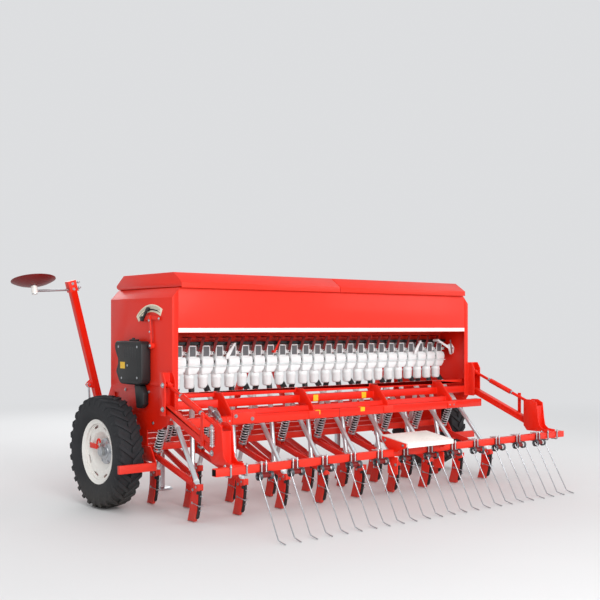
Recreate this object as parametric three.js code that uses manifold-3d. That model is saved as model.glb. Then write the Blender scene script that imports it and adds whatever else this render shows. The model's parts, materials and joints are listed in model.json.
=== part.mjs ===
// Mounted seed drill, 23 rows on a 3 m working width, built as an assembly of separate pieces.
// Millimetres, +Z up, +Y is the direction of travel, +X is the machine's right-hand side.
// Z counts from the ground that wheels, stands and coulters stand on.
import * as THREE from "three";
import { mergeVertices } from "three/addons/utils/BufferGeometryUtils.js";
import Module from "manifold-3d";

const wasm = await Module();
wasm.setup();

// ---- driving dimensions -------------------------------------------------------------------
const GAP = 0.3; // left between two pieces that touch
const RUN = 10; // clearance beside a moving piece

const HOPPER_HALF = 1537; // hopper, outside of its end panels
const HOPPER_DEPTH = 890;
const HOPPER_REAR_Y = 0;
const SHEET = 4; // sheet thickness of walls and lids
const END_SHEET = 5;
const SHOULDER_Z = 1532; // where the end panels lean inwards
const RIM_Z = 1619;
const RIM_INSET = 81;
const END_BOTTOM_Z = 716;
const PANEL_BOTTOM_Z = 1284;
const FLANGE = 47; // width of the end panels' upright flanges
const LID_RISE = 94;
const LID_OVERHANG = 22;
const LID_SLOPE = 111; // run of the lid's front and rear slopes
const LID_SIDE = 20;
const LID_EDGE = 21; // height of the lid's rear and front edge above the rim
const LID_LIP = 19; // behind, below the rim
const LID_SKIRT = 11; // at the ends
const LID_SEAM = 3; // half gap between the two lids

const THROAT_Y = 330; // rear face of the seed throat
const THROAT_WIDTH = 70;
const THROAT_TOP_Z = 1265;
const THROAT_BOTTOM_Z = 1080;

const UNIT_COUNT = 25;
const UNIT_PITCH = 120;
const UNIT_WIDTH = 92;
const UNIT_DEPTH = 94;
const UNIT_TOP_Z = 1215;
const SPOUT_TOP_Z = 955;
const SPOUT_END_Z = 888;
const SPOUT_RADIUS = 22;
const DRIVE_SHAFT_Z = 1075;
const DRIVE_SHAFT_RADIUS = 11;
const RAIL_HEIGHT = 36;
const RAIL_THICKNESS = 7;

const ROW_COUNT = 25;
const ROW_PITCH = 125;
const RANK_PITCH = 305; // from one rank of coulters to the next, along the travel
const LONG_ARM_EXTRA = 150; // how much farther back the rear rank's arms reach than the others
const RANK_BEAM_Y = 330; // rear face of the rear rank's beam
const RANK_BEAM = 50;
const RANK_BEAM_Z = 430; // underside of the rank beams
const SHAFT_Y = 185; // pressure shaft of the rear rank
const SHAFT_Z = 640;
const SHAFT = 30;
const SPRING_RADIUS = 31;
const TUBE_RADIUS = 18;
const FUNNEL_Z = 262; // top of the shoe's funnel
const COULTER_WIDTH = 30;

const SIDE_PLATE = 10;
const AXLE_Y = 656;
const WHEEL_RADIUS = 413;
const TYRE_WIDTH = 196;
const TYRE_CLEARANCE = 70;
const TYRE_MIDDLE_X = HOPPER_HALF + TYRE_CLEARANCE + TYRE_WIDTH / 2;
const RIM_RADIUS = 236;
const AXLE_RADIUS = 22;

const FRONT_BEAM = 80;
const FRONT_BEAM_Z = 480;

const TUBE_A = 38; // thin cross tube behind the meters
const TUBE_A_Y = 56;
const TUBE_A_Z = 820;
const TUBE_B = 58; // thick cross tube under it
const TUBE_B_Y = 0;
const TUBE_B_Z = 745;
const REAR_BEAM = 64;
const REAR_BEAM_Y = -160;
const REAR_BEAM_Z = 631;
const REAR_BEAM_HALF = 1534;
const UPRIGHTS_X = [390, 1146];
const UPRIGHT_PLATE = 12;

const MARKER_Y = 1135;
const MARKER_INSET = 74;
const MARKER_X = HOPPER_HALF - MARKER_INSET;
const MARKER_Z = 560;
const MARKER_LEAN = 14.57; // degrees outwards of upright
const MARKER_LENGTH = 1156;
const MARKER_TUBE = 50;
const MARKER_ROD = 9;
const MARKER_REACH = 301; // from the arm's axis out to the disc's axis
const DISC_RADIUS = 165;
const DISC_DISH = 42;
const HUB_RADIUS = 22;
const HUB_LENGTH = 66;
const PIN_RADIUS = 12.5;
const RAM_BASE_X = MARKER_X + 97;
const RAM_BASE_Z = 230;
const RAM_EYE_X = MARKER_X + 135.6;
const RAM_EYE_Z = 875;
const BARREL_RADIUS = 20;
const BARREL_LENGTH = 332;
const RAM_ROD_RADIUS = 8;

const ARM_PIVOT_Y = -35;
const ARM_PIVOT_Z = 760;
const ARM_RUN = 600; // the arm's length along the travel and its drop
const ARM_DROP = 239;
const LINK_RISE = 165; // upper link above the arm
const ARM_WIDTH = 50;
const ARM_HEIGHT = 50;
const LINK_RADIUS = 13;
const SLEEVE_RADIUS = 22;
const CHEEK = 8;
const CHEEK_SPACE = 71.4; // between the cheeks that hold an arm

const TINE_COUNT = 24;
const TINE_PITCH = 127;
const TINE = 10;
const HARROW_BEAM = 50;
const HARROW_BEAM_Y = -862;
const HARROW_BEAM_Z = 405;
const HARROW_OVERHANG = 221;
const HARROW_HALF = HOPPER_HALF + HARROW_OVERHANG;
const REAR_REACH = 1170; // from the hopper's rear face back to the tine tips

const STEP_HALF = 235;
const STEP_Z = 549;
const STEP_FRONT_Y = -726;
const STEP_RUN = 272; // tread, measured along the travel
const STEP_DROP = 41; // its rear edge is lower
const STEP_RIM = 48;

const STAND_X = 960;
const STAND_TUBE = 40;
const STAND_TOP_Z = 720;
const STAND_FOOT_RADIUS = 95;

const HITCH_X = 412; // lower link pins from the middle
const HITCH_FORK = 56;
const HITCH_LUG = 12;
const HITCH_REACH = 90;
const MAST_TOP_Z = 1180;

// ---- finishes -----------------------------------------------------------------------------
const RED = new THREE.MeshStandardMaterial({ color: 0xd8261c, roughness: 0.38, metalness: 0.0 });
const DARK_RED = new THREE.MeshStandardMaterial({ color: 0x8c1414, roughness: 0.3, metalness: 0.0 });
const WHITE = new THREE.MeshStandardMaterial({ color: 0xeceae6, roughness: 0.45, metalness: 0.0 });
const BLACK = new THREE.MeshStandardMaterial({ color: 0x202123, roughness: 0.6, metalness: 0.0 });
const RUBBER = new THREE.MeshStandardMaterial({ color: 0x1b1b1c, roughness: 0.85, metalness: 0.0 });
const ZINC = new THREE.MeshStandardMaterial({ color: 0xb8bcc0, roughness: 0.35, metalness: 1.0 });

// ---- shapes -------------------------------------------------------------------------------
function box(x0, x1, y0, y1, z0, z1) {
  const geometry = new THREE.BoxGeometry(Math.abs(x1 - x0), Math.abs(y1 - y0), Math.abs(z1 - z0));
  return geometry.translate((x0 + x1) / 2, (y0 + y1) / 2, (z0 + z1) / 2);
}

// A flat plate with a [y, z] outline, from x0 to x1.
function plateYZ(outline, x0, x1) {
  const shape = new THREE.Shape(outline.map(([y, z]) => new THREE.Vector2(y, z)));
  const geometry = new THREE.ExtrudeGeometry(shape, { depth: Math.abs(x1 - x0), bevelEnabled: false });
  const turn = new THREE.Matrix4().set(0, 0, 1, 0, 1, 0, 0, 0, 0, 1, 0, 0, 0, 0, 0, 1);
  return geometry.applyMatrix4(turn).translate(Math.min(x0, x1), 0, 0);
}

// A flat plate with an [x, z] outline, from y0 to y1.
function plateXZ(outline, y0, y1) {
  const shape = new THREE.Shape(outline.map(([x, z]) => new THREE.Vector2(x, z)));
  const geometry = new THREE.ExtrudeGeometry(shape, { depth: Math.abs(y1 - y0), bevelEnabled: false });
  return geometry.rotateX(Math.PI / 2).translate(0, Math.max(y0, y1), 0);
}

// A straight round bar from one point to another.
function rod(start, end, radius, sides = 10) {
  const a = new THREE.Vector3(...start);
  const b = new THREE.Vector3(...end);
  const along = b.clone().sub(a);
  const geometry = new THREE.CylinderGeometry(radius, radius, along.length(), sides);
  const turn = new THREE.Quaternion().setFromUnitVectors(new THREE.Vector3(0, 1, 0), along.normalize());
  return geometry.applyQuaternion(turn).translate(...a.add(b).multiplyScalar(0.5).toArray());
}

// A bar with four flat sides between two points of one upright plane x = const.
function flatBar(start, end, height, x0, x1) {
  const along = new THREE.Vector2(end[0] - start[0], end[1] - start[1]).normalize();
  const across = new THREE.Vector2(-along.y, along.x).multiplyScalar(height / 2);
  const outline = [
    [start[0] - across.x, start[1] - across.y],
    [end[0] - across.x, end[1] - across.y],
    [end[0] + across.x, end[1] + across.y],
    [start[0] + across.x, start[1] + across.y],
  ];
  return plateYZ(outline, x0, x1);
}

// A turned piece about the X axis through (y, z); the profile holds [radius, x] pairs.
function turnedX(profile, y, z, sides) {
  const points = profile.map(([radius, x]) => new THREE.Vector2(radius, x));
  return new THREE.LatheGeometry(points, sides).rotateZ(-Math.PI / 2).translate(0, y, z);
}

function solidOf(geometry) {
  const bare = geometry.clone();
  for (const name of Object.keys(bare.attributes)) {
    if (name !== "position") bare.deleteAttribute(name);
  }
  const merged = mergeVertices(bare, 1e-4);
  const vertProperties = new Float32Array(merged.attributes.position.array);
  const triVerts = new Uint32Array(merged.index.array);
  return new wasm.Manifold(new wasm.Mesh({ numProp: 3, vertProperties, triVerts }));
}

function geometryOf(solid) {
  const mesh = solid.getMesh();
  const geometry = new THREE.BufferGeometry();
  geometry.setAttribute("position", new THREE.BufferAttribute(mesh.vertProperties, 3));
  geometry.setIndex(new THREE.BufferAttribute(mesh.triVerts, 1));
  return geometry;
}

function join(geometries) {
  return geometryOf(geometries.map(solidOf).reduce((sum, next) => sum.add(next)));
}

function cut(geometry, tools) {
  return geometryOf(tools.map(solidOf).reduce((rest, tool) => rest.subtract(tool), solidOf(geometry)));
}

// The same piece on the other side of the machine.
function mirrored(geometry) {
  const other = geometry.clone().scale(-1, 1, 1);
  if (!other.index) {
    const count = other.attributes.position.count;
    other.setIndex(Array.from({ length: count }, (_, i) => i));
  }
  const index = other.index.array;
  for (let i = 0; i < index.length; i += 3) {
    [index[i], index[i + 1]] = [index[i + 1], index[i]];
  }
  return other;
}

const drill = new THREE.Group();

function addPiece(name, geometry, material) {
  const mesh = new THREE.Mesh(geometry, material);
  mesh.name = name;
  drill.add(mesh);
}

// A piece made for the right-hand side (+X), and its mirror image on the left.
function addPair(name, geometry, material) {
  addPiece(`${name}_right`, geometry, material);
  addPiece(`${name}_left`, mirrored(geometry), material);
}

// ---- hopper -------------------------------------------------------------------------------
const HOPPER_FRONT_Y = HOPPER_REAR_Y + HOPPER_DEPTH;
const RIM_HALF = HOPPER_HALF - RIM_INSET;
const PANEL_HALF = HOPPER_HALF - FLANGE - GAP;
const INNER_HALF = HOPPER_HALF - END_SHEET - GAP;
const LEAN = RIM_INSET / (RIM_Z - SHOULDER_Z);
const FLANGE_TOP_Z = SHOULDER_Z + FLANGE / LEAN;

// The panels stop inside the end panels' lean.
function hopperPanel(y0, y1) {
  const rimHalf = RIM_HALF - END_SHEET - 2 * GAP;
  const cornerZ = RIM_Z - (PANEL_HALF - rimHalf) / LEAN;
  const outline = [
    [-PANEL_HALF, PANEL_BOTTOM_Z], [PANEL_HALF, PANEL_BOTTOM_Z], [PANEL_HALF, cornerZ],
    [rimHalf, RIM_Z], [-rimHalf, RIM_Z], [-PANEL_HALF, cornerZ],
  ];
  return plateXZ(outline, y0, y1);
}

addPiece("hopper_rear_wall", hopperPanel(HOPPER_REAR_Y, HOPPER_REAR_Y + SHEET), RED);
addPiece("hopper_front_wall", hopperPanel(HOPPER_FRONT_Y - SHEET, HOPPER_FRONT_Y), RED);

// The floor is one bent sheet: two slopes that meet in the seed throat.
function hopperFloor() {
  const rear = HOPPER_REAR_Y + SHEET + GAP;
  const front = HOPPER_FRONT_Y - SHEET - GAP;
  const throatFront = THROAT_Y + THROAT_WIDTH;
  const slant = SHEET * 1.35;
  const outline = [
    [rear, SHOULDER_Z - 4], [THROAT_Y + SHEET, THROAT_TOP_Z], [THROAT_Y + SHEET, THROAT_BOTTOM_Z + SHEET],
    [throatFront - SHEET, THROAT_BOTTOM_Z + SHEET], [throatFront - SHEET, THROAT_TOP_Z],
    [front, SHOULDER_Z - 4], [front, SHOULDER_Z - 4 - slant], [throatFront, THROAT_TOP_Z - slant],
    [throatFront, THROAT_BOTTOM_Z], [THROAT_Y, THROAT_BOTTOM_Z], [THROAT_Y, THROAT_TOP_Z - slant],
    [rear, SHOULDER_Z - 4 - slant],
  ];
  return plateYZ(outline, -INNER_HALF, INNER_HALF);
}
addPiece("hopper_floor", hopperFloor(), RED);

function hopperEnd() {
  const outer = HOPPER_HALF;
  const inner = HOPPER_HALF - END_SHEET;
  const wall = plateXZ([
    [inner, END_BOTTOM_Z], [outer, END_BOTTOM_Z], [outer, SHOULDER_Z],
    [RIM_HALF, RIM_Z], [RIM_HALF - END_SHEET, RIM_Z], [inner, SHOULDER_Z],
  ], HOPPER_REAR_Y, HOPPER_FRONT_Y);
  const flange = [
    [outer - FLANGE, END_BOTTOM_Z], [outer, END_BOTTOM_Z],
    [outer, SHOULDER_Z], [outer - FLANGE, FLANGE_TOP_Z],
  ];
  const rear = plateXZ(flange, HOPPER_REAR_Y, HOPPER_REAR_Y + SHEET);
  const front = plateXZ(flange, HOPPER_FRONT_Y - SHEET, HOPPER_FRONT_Y);
  return join([wall, rear, front]);
}
addPair("hopper_end", hopperEnd(), RED);

// ---- lids ---------------------------------------------------------------------------------
const LID_REAR_Y = HOPPER_REAR_Y - LID_OVERHANG;
const LID_FRONT_Y = HOPPER_FRONT_Y + LID_OVERHANG;
const LID_HALF = RIM_HALF + LID_SIDE;
const LID_BASE_Z = RIM_Z + GAP;

// A folded tray with a lip behind; in front it ends above the rim, so that it can swing up.
function lid() {
  const crest = RIM_Z + LID_RISE;
  const edge = RIM_Z + LID_EDGE;
  const tray = plateYZ([
    [LID_REAR_Y, RIM_Z - LID_LIP], [LID_REAR_Y + SHEET, RIM_Z - LID_LIP],
    [LID_REAR_Y + SHEET, RIM_Z - LID_SKIRT], [LID_FRONT_Y - 30, RIM_Z - LID_SKIRT], [LID_FRONT_Y, RIM_Z + 3],
    [LID_FRONT_Y, edge], [LID_FRONT_Y - LID_SLOPE, crest], [LID_REAR_Y + LID_SLOPE, crest],
    [LID_REAR_Y, edge],
  ], LID_SEAM, LID_HALF);
  const y0 = LID_REAR_Y + SHEET;
  const y1 = LID_FRONT_Y - SHEET;
  const hollow = plateYZ([
    [y0, LID_BASE_Z], [y1, LID_BASE_Z], [y1, edge - SHEET], [y1 - LID_SLOPE, crest - SHEET],
    [y0 + LID_SLOPE, crest - SHEET], [y0, edge - SHEET],
  ], LID_SEAM + SHEET, LID_HALF - SHEET);
  const overWalls = box(0, LID_HALF - SHEET, y0, LID_FRONT_Y + 1, RIM_Z - LID_LIP - SHEET, LID_BASE_Z);
  return cut(tray, [hollow, overWalls]);
}
addPair("lid", lid(), RED);

// ---- seed meters, their drive and the seed tubes ---------------------------------------------
const UNIT_FRONT_Y = THROAT_Y - GAP;
const UNIT_REAR_Y = UNIT_FRONT_Y - UNIT_DEPTH;
const SPOUT_Y = UNIT_FRONT_Y - UNIT_DEPTH / 2;
const rowX = (row, pitch) => (row - (ROW_COUNT - 1) / 2) * pitch;
// Rows follow each other in the order rear, front, middle rank.
const RANK_OF_ROW = [0, 2, 1];
const reachOf = (rank) => (rank === 0 ? LONG_ARM_EXTRA : 0);
const funnelY = (rank) => RANK_BEAM_Y - 450 - reachOf(rank) + rank * RANK_PITCH;

function seedMeter(x) {
  const front = UNIT_FRONT_Y;
  const rear = UNIT_REAR_Y;
  const body = plateYZ([
    [front, UNIT_TOP_Z], [rear + 26, UNIT_TOP_Z], [rear + 14, UNIT_TOP_Z - 25], [rear + 14, UNIT_TOP_Z - 95],
    [rear + 4, UNIT_TOP_Z - 135], [rear, UNIT_TOP_Z - 175], [rear + 9, SPOUT_TOP_Z + 35],
    [rear + 26, SPOUT_TOP_Z], [rear + 69, SPOUT_TOP_Z], [front, SPOUT_TOP_Z + 45],
  ], x - UNIT_WIDTH / 2, x + UNIT_WIDTH / 2);
  return [body, rod([x, SPOUT_Y, SPOUT_END_Z], [x, SPOUT_Y, SPOUT_TOP_Z + 5], SPOUT_RADIUS, 6)];
}

function seedTube(row) {
  const top = [rowX(row, UNIT_PITCH), SPOUT_Y, SPOUT_END_Z + 8];
  const bottom = [rowX(row, ROW_PITCH), funnelY(RANK_OF_ROW[row % 3]), FUNNEL_Z + 12];
  return rod(top, bottom, TUBE_RADIUS, 6);
}

const meterParts = [];
for (let unit = 0; unit < UNIT_COUNT; unit += 1) {
  meterParts.push(...seedMeter((unit - (UNIT_COUNT - 1) / 2) * UNIT_PITCH));
}
const SHAFT_END = INNER_HALF - GAP;
meterParts.push(rod(
  [-SHAFT_END, SPOUT_Y, DRIVE_SHAFT_Z], [SHAFT_END, SPOUT_Y, DRIVE_SHAFT_Z], DRIVE_SHAFT_RADIUS, 4,
));
for (let row = 0; row < ROW_COUNT; row += 1) meterParts.push(seedTube(row));
addPiece("seed_meters", join(meterParts), WHITE);

const RAIL_TOP_Z = UNIT_TOP_Z + 4 + RAIL_HEIGHT;
addPiece("shutter_rail", box(
  -INNER_HALF + GAP, INNER_HALF - GAP, UNIT_FRONT_Y - RAIL_THICKNESS, UNIT_FRONT_Y,
  RAIL_TOP_Z - RAIL_HEIGHT, RAIL_TOP_Z,
), RED);

// ---- gearbox and rate setting, on the left end panel --------------------------------------------
const GEARBOX_REAR_Y = 284;
const GEARBOX_FRONT_Y = 683;
const GEARBOX_BOTTOM_Z = 906;
const GEARBOX_TOP_Z = 1225;
const GEARBOX_WIDTH = 86;
const GUARD_BOTTOM_Z = 740;
const GUARD_WIDTH = 47;
const LEVER_Y = 256;
const LEVER_Z = 1190;
const LEVER_LENGTH = 242;
const SCALE_Y = 280;
const SCALE_Z = 1170;
const SCALE_INNER = 258;
const SCALE_OUTER = 319;

function gearbox() {
  const x = -HOPPER_HALF - GAP;
  return plateYZ([
    [GEARBOX_REAR_Y, GEARBOX_BOTTOM_Z + 20], [GEARBOX_REAR_Y + 60, GEARBOX_BOTTOM_Z],
    [GEARBOX_FRONT_Y - 90, GEARBOX_BOTTOM_Z], [GEARBOX_FRONT_Y - 20, GEARBOX_BOTTOM_Z + 90],
    [GEARBOX_FRONT_Y - 50, GEARBOX_BOTTOM_Z + 180], [GEARBOX_FRONT_Y, GEARBOX_TOP_Z - 25],
    [GEARBOX_FRONT_Y - 10, GEARBOX_TOP_Z], [GEARBOX_REAR_Y, GEARBOX_TOP_Z],
  ], x - GEARBOX_WIDTH, x);
}
addPiece("gearbox", gearbox(), BLACK);

function chainGuard() {
  const x = -HOPPER_HALF - GAP - SIDE_PLATE - GAP;
  const top = GEARBOX_BOTTOM_Z - GAP;
  return plateYZ([
    [GEARBOX_REAR_Y + 61, top], [GEARBOX_REAR_Y + 20, top - 60], [GEARBOX_REAR_Y + 20, GUARD_BOTTOM_Z + 30],
    [GEARBOX_REAR_Y + 60, GUARD_BOTTOM_Z], [GEARBOX_REAR_Y + 120, GUARD_BOTTOM_Z],
    [GEARBOX_REAR_Y + 150, top],
  ], x - GUARD_WIDTH, x);
}
addPiece("chain_guard", chainGuard(), BLACK);

// An arc plate about the lever's pivot.
function rateScale() {
  const x = -HOPPER_HALF - GAP;
  const steps = 6;
  const angle = (i) => THREE.MathUtils.degToRad(118 - (71 * i) / steps);
  const point = (radius, i) => [SCALE_Y + radius * Math.cos(angle(i)), SCALE_Z + radius * Math.sin(angle(i))];
  const outer = Array.from({ length: steps + 1 }, (_, i) => point(SCALE_OUTER, i));
  const inner = Array.from({ length: steps + 1 }, (_, i) => point(SCALE_INNER, steps - i));
  return plateYZ([...outer, ...inner].reverse(), x - 3, x);
}
addPiece("rate_scale", rateScale(), WHITE);

function rateLever() {
  const x = -HOPPER_HALF - GAP;
  const tip = [LEVER_Y + 27, LEVER_Z + LEVER_LENGTH - 2];
  const blade = flatBar([LEVER_Y, LEVER_Z], tip, 22, x - 22, x - 14);
  const boss = rod([x, LEVER_Y, LEVER_Z], [x - 30, LEVER_Y, LEVER_Z], 20, 10);
  return join([blade, boss]);
}
addPiece("rate_lever", rateLever(), RED);

// ---- chassis ------------------------------------------------------------------------------
const SIDE_INNER = HOPPER_HALF + GAP;
const SIDE_OUTER = SIDE_INNER + SIDE_PLATE;
const FRONT_BEAM_Y = RANK_BEAM_Y + 2 * RANK_PITCH + RANK_BEAM + RUN;
const FRONT_BEAM_FRONT_Y = FRONT_BEAM_Y + FRONT_BEAM;
const CROSS_HALF = HOPPER_HALF - GAP;

// The side plate carries the axle, the rank beams, the pressure shafts and the harrow bracket.
function sidePlate() {
  const top = GEARBOX_BOTTOM_Z - GAP;
  const plate = plateYZ([
    [HOPPER_REAR_Y, 1010], [HOPPER_REAR_Y, END_BOTTOM_Z - 1], [60, 640], [150, 600], [RANK_BEAM_Y, 585],
    [RANK_BEAM_Y, 400], [RANK_BEAM_Y + 100, 330], [AXLE_Y + 104, 330], [AXLE_Y + 204, 410],
    [FRONT_BEAM_FRONT_Y, 410], [FRONT_BEAM_FRONT_Y, FRONT_BEAM_Z + FRONT_BEAM], [1000, 600],
    [935, 765], [870, 875], [700, top], [60, top], [60, 1010],
  ], SIDE_INNER, SIDE_OUTER);
  return cut(plate, [box(SIDE_INNER - 5, SIDE_OUTER + 5, 740, 810, 755, 835)]);
}
addPair("side_frame", sidePlate(), RED);

function standSleeve(x) {
  const half = STAND_TUBE / 2 + 0.5;
  const wall = half + 6.5;
  const y = FRONT_BEAM_FRONT_Y + wall;
  const tube = box(x - wall, x + wall, y - wall, y + wall, FRONT_BEAM_Z - 40, FRONT_BEAM_Z + FRONT_BEAM + 40);
  return cut(tube, [box(x - half, x + half, y - half, y + half, 0, STAND_TOP_Z)]);
}
const STAND_Y = FRONT_BEAM_FRONT_Y + STAND_TUBE / 2 + 7;

function hitchLug(x) {
  const tip = FRONT_BEAM_FRONT_Y + HITCH_REACH;
  return plateYZ([
    [FRONT_BEAM_FRONT_Y - 1, FRONT_BEAM_Z - 10], [tip - 15, FRONT_BEAM_Z - 10], [tip, FRONT_BEAM_Z + 10],
    [tip, FRONT_BEAM_Z + 70], [tip - 20, FRONT_BEAM_Z + 100], [FRONT_BEAM_FRONT_Y + 20, FRONT_BEAM_Z + 110],
    [FRONT_BEAM_FRONT_Y - 1, FRONT_BEAM_Z + FRONT_BEAM - 1],
  ], x - HITCH_LUG / 2, x + HITCH_LUG / 2);
}

function frontBeam() {
  const parts = [box(
    -CROSS_HALF, CROSS_HALF, FRONT_BEAM_Y, FRONT_BEAM_FRONT_Y, FRONT_BEAM_Z, FRONT_BEAM_Z + FRONT_BEAM,
  )];
  const pinY = FRONT_BEAM_FRONT_Y + HITCH_REACH - 35;
  const pinZ = FRONT_BEAM_Z + 50;
  for (const side of [-1, 1]) {
    const x = side * HITCH_X;
    const spread = (HITCH_FORK + HITCH_LUG) / 2;
    parts.push(hitchLug(x - spread), hitchLug(x + spread));
    parts.push(rod([x - spread - 20, pinY, pinZ], [x + spread + 20, pinY, pinZ], 14, 10));
    parts.push(standSleeve(side * STAND_X));
  }
  return join(parts);
}
addPiece("front_beam", frontBeam(), RED);

// The mast for the tractor's top link stands on the front beam.
function mast() {
  const base = FRONT_BEAM_Z + FRONT_BEAM + GAP;
  const y0 = FRONT_BEAM_Y + 15;
  const y1 = FRONT_BEAM_FRONT_Y - 15;
  const parts = [];
  for (const side of [-1, 1]) {
    const leg = [[300, base], [360, base], [90, MAST_TOP_Z], [36, MAST_TOP_Z]];
    parts.push(plateXZ(leg.map(([x, z]) => [side * x, z]), y0, y1));
    parts.push(plateYZ([
      [y0 + 4, MAST_TOP_Z - 130], [y1 + 60, MAST_TOP_Z - 80], [y1 + 60, MAST_TOP_Z], [y0 + 4, MAST_TOP_Z],
    ].reverse(), side * 36, side * 50));
  }
  const pinY = y1 + 35;
  parts.push(rod([-70, pinY, MAST_TOP_Z - 40], [70, pinY, MAST_TOP_Z - 40], 12, 10));
  parts.push(box(-95, 95, y0 + 10, y1 - 10, MAST_TOP_Z - 190, MAST_TOP_Z - 130));
  return join(parts);
}
addPiece("top_link_mast", mast(), RED);

// Two cross tubes behind the meters, gusset plates and the low rear beam: one welded frame.
function rearFrame() {
  const beamFront = REAR_BEAM_Y + REAR_BEAM;
  const beamTop = REAR_BEAM_Z + REAR_BEAM;
  const parts = [
    box(-INNER_HALF, INNER_HALF, TUBE_A_Y, TUBE_A_Y + TUBE_A, TUBE_A_Z, TUBE_A_Z + TUBE_A),
    box(-INNER_HALF, INNER_HALF, TUBE_B_Y + SHEET + GAP, TUBE_B_Y + TUBE_B, TUBE_B_Z, TUBE_B_Z + TUBE_B),
    box(-REAR_BEAM_HALF, REAR_BEAM_HALF, REAR_BEAM_Y, beamFront, REAR_BEAM_Z, beamTop),
    box(-UPRIGHTS_X[1], UPRIGHTS_X[1], beamFront - 2, beamFront + 34, beamTop - 2, beamTop + 36),
  ];
  const gusset = [
    [REAR_BEAM_Y, REAR_BEAM_Z + 20], [beamFront + 20, REAR_BEAM_Z + 20], [TUBE_B_Y + 40, TUBE_B_Z + 4],
    [TUBE_A_Y + TUBE_A - 4, TUBE_A_Z + 4], [TUBE_A_Y + TUBE_A - 4, TUBE_A_Z + TUBE_A - 2],
    [TUBE_B_Y + 50, TUBE_A_Z + 34], [TUBE_B_Y - 32, TUBE_A_Z + 34], [REAR_BEAM_Y, beamTop + 20],
  ];
  for (const x of UPRIGHTS_X) {
    parts.push(plateYZ(gusset, x - UPRIGHT_PLATE / 2, x + UPRIGHT_PLATE / 2));
    parts.push(plateYZ(gusset, -x - UPRIGHT_PLATE / 2, -x + UPRIGHT_PLATE / 2));
  }
  return join(parts);
}
addPiece("rear_frame", rearFrame(), RED);

// ---- coulters -----------------------------------------------------------------------------
// A coulter's arm runs back from its pivot under the rank beam and ends in a curved shoe.
function coulter(x, shift, reach) {
  const at = (outline, back = 0) => outline.map(([y, z]) => [y + shift - back, z]);
  const half = COULTER_WIDTH / 2;
  const pivot = RANK_BEAM_Y + 5;
  const arm = plateYZ(at([
    [pivot + 15, 386], [pivot + 18, 424], [pivot - 30, 428], [-30 - reach, 292], [-66 - reach, 280],
    [-60 - reach, 245], [-20 - reach, 250],
  ]).reverse(), x - half + 3, x + half - 3);
  const shoe = plateYZ(at([
    [-45, 282], [-40, 150], [-18, 60], [0, 0], [-60, 8], [-122, 4], [-129, 25], [-150, 131],
    [-162, 217], [-158, FUNNEL_Z], [-82, FUNNEL_Z], [-66, 282],
  ], reach).reverse(), x - half, x + half);
  const bracket = plateYZ(at([
    [RANK_BEAM_Y + 30, RANK_BEAM_Z + 4], [RANK_BEAM_Y - 8, RANK_BEAM_Z + 30], [RANK_BEAM_Y - 30, 430],
    [RANK_BEAM_Y - 12, 380], [RANK_BEAM_Y + 30, 380],
  ]).reverse(), x - half - 8, x + half + 8);
  const funnel = box(
    x - 24, x + 24, shift - reach - 162, shift - reach - 80, FUNNEL_Z - 40, FUNNEL_Z,
  );
  return [arm, shoe, bracket, funnel];
}

function coulterRank(rank) {
  const shift = rank * RANK_PITCH;
  const beamY = RANK_BEAM_Y + shift;
  const parts = [box(
    -CROSS_HALF, CROSS_HALF, beamY, beamY + RANK_BEAM, RANK_BEAM_Z, RANK_BEAM_Z + RANK_BEAM,
  )];
  for (let row = 0; row < ROW_COUNT; row += 1) {
    if (RANK_OF_ROW[row % 3] === rank) parts.push(...coulter(rowX(row, ROW_PITCH), shift, reachOf(rank)));
  }
  const tubes = [];
  for (let row = 0; row < ROW_COUNT; row += 1) {
    if (RANK_OF_ROW[row % 3] === rank) {
      const x = rowX(row, ROW_PITCH);
      const y = funnelY(rank);
      tubes.push(rod(
        [rowX(row, UNIT_PITCH), SPOUT_Y, SPOUT_END_Z + 8], [x, y, FUNNEL_Z + 12], TUBE_RADIUS + 1, 6,
      ));
    }
  }
  return cut(join(parts), tubes);
}

// The pressure shaft of a rank with the spring of each coulter under it.
function pressureShaft(rank) {
  const shift = rank * RANK_PITCH;
  const half = SHAFT / 2;
  const parts = [box(
    -CROSS_HALF, CROSS_HALF, SHAFT_Y + shift - half, SHAFT_Y + shift + half, SHAFT_Z - half, SHAFT_Z + half,
  )];
  for (let row = 0; row < ROW_COUNT; row += 1) {
    if (RANK_OF_ROW[row % 3] !== rank) continue;
    const x = rowX(row, ROW_PITCH);
    parts.push(rod([x, SHAFT_Y + shift + 2, SHAFT_Z - 8], [x, SHAFT_Y + shift + 71, 458], SPRING_RADIUS, 6));
  }
  return join(parts);
}

const RANK_NAMES = ["rear", "middle", "front"];
RANK_NAMES.forEach((name, rank) => {
  addPiece(`coulters_${name}`, coulterRank(rank), RED);
  addPiece(`pressure_springs_${name}`, pressureShaft(rank), ZINC);
});

// ---- wheels -------------------------------------------------------------------------------
const TYRE_INNER_X = TYRE_MIDDLE_X - TYRE_WIDTH / 2;
const TYRE_OUTER_X = TYRE_MIDDLE_X + TYRE_WIDTH / 2;
const WHEEL_SIDES = 24;
const HUB_X = TYRE_MIDDLE_X - 10;
const HUB_OUTER_RADIUS = 62;

function tyre() {
  const bead = RIM_RADIUS - 14;
  const tread = WHEEL_RADIUS;
  return turnedX([
    [bead + GAP, TYRE_INNER_X + 42], [RIM_RADIUS + 40, TYRE_INNER_X], [tread - 90, TYRE_INNER_X],
    [tread - 18, TYRE_INNER_X + 10], [tread, TYRE_INNER_X + 46], [tread, TYRE_OUTER_X - 46],
    [tread - 18, TYRE_OUTER_X - 10], [tread - 90, TYRE_OUTER_X], [RIM_RADIUS + 40, TYRE_OUTER_X],
    [bead + GAP, TYRE_OUTER_X - 42], [bead + GAP, TYRE_INNER_X + 42],
  ], AXLE_Y, WHEEL_RADIUS, WHEEL_SIDES);
}
addPair("tyre", tyre(), RUBBER);

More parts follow.
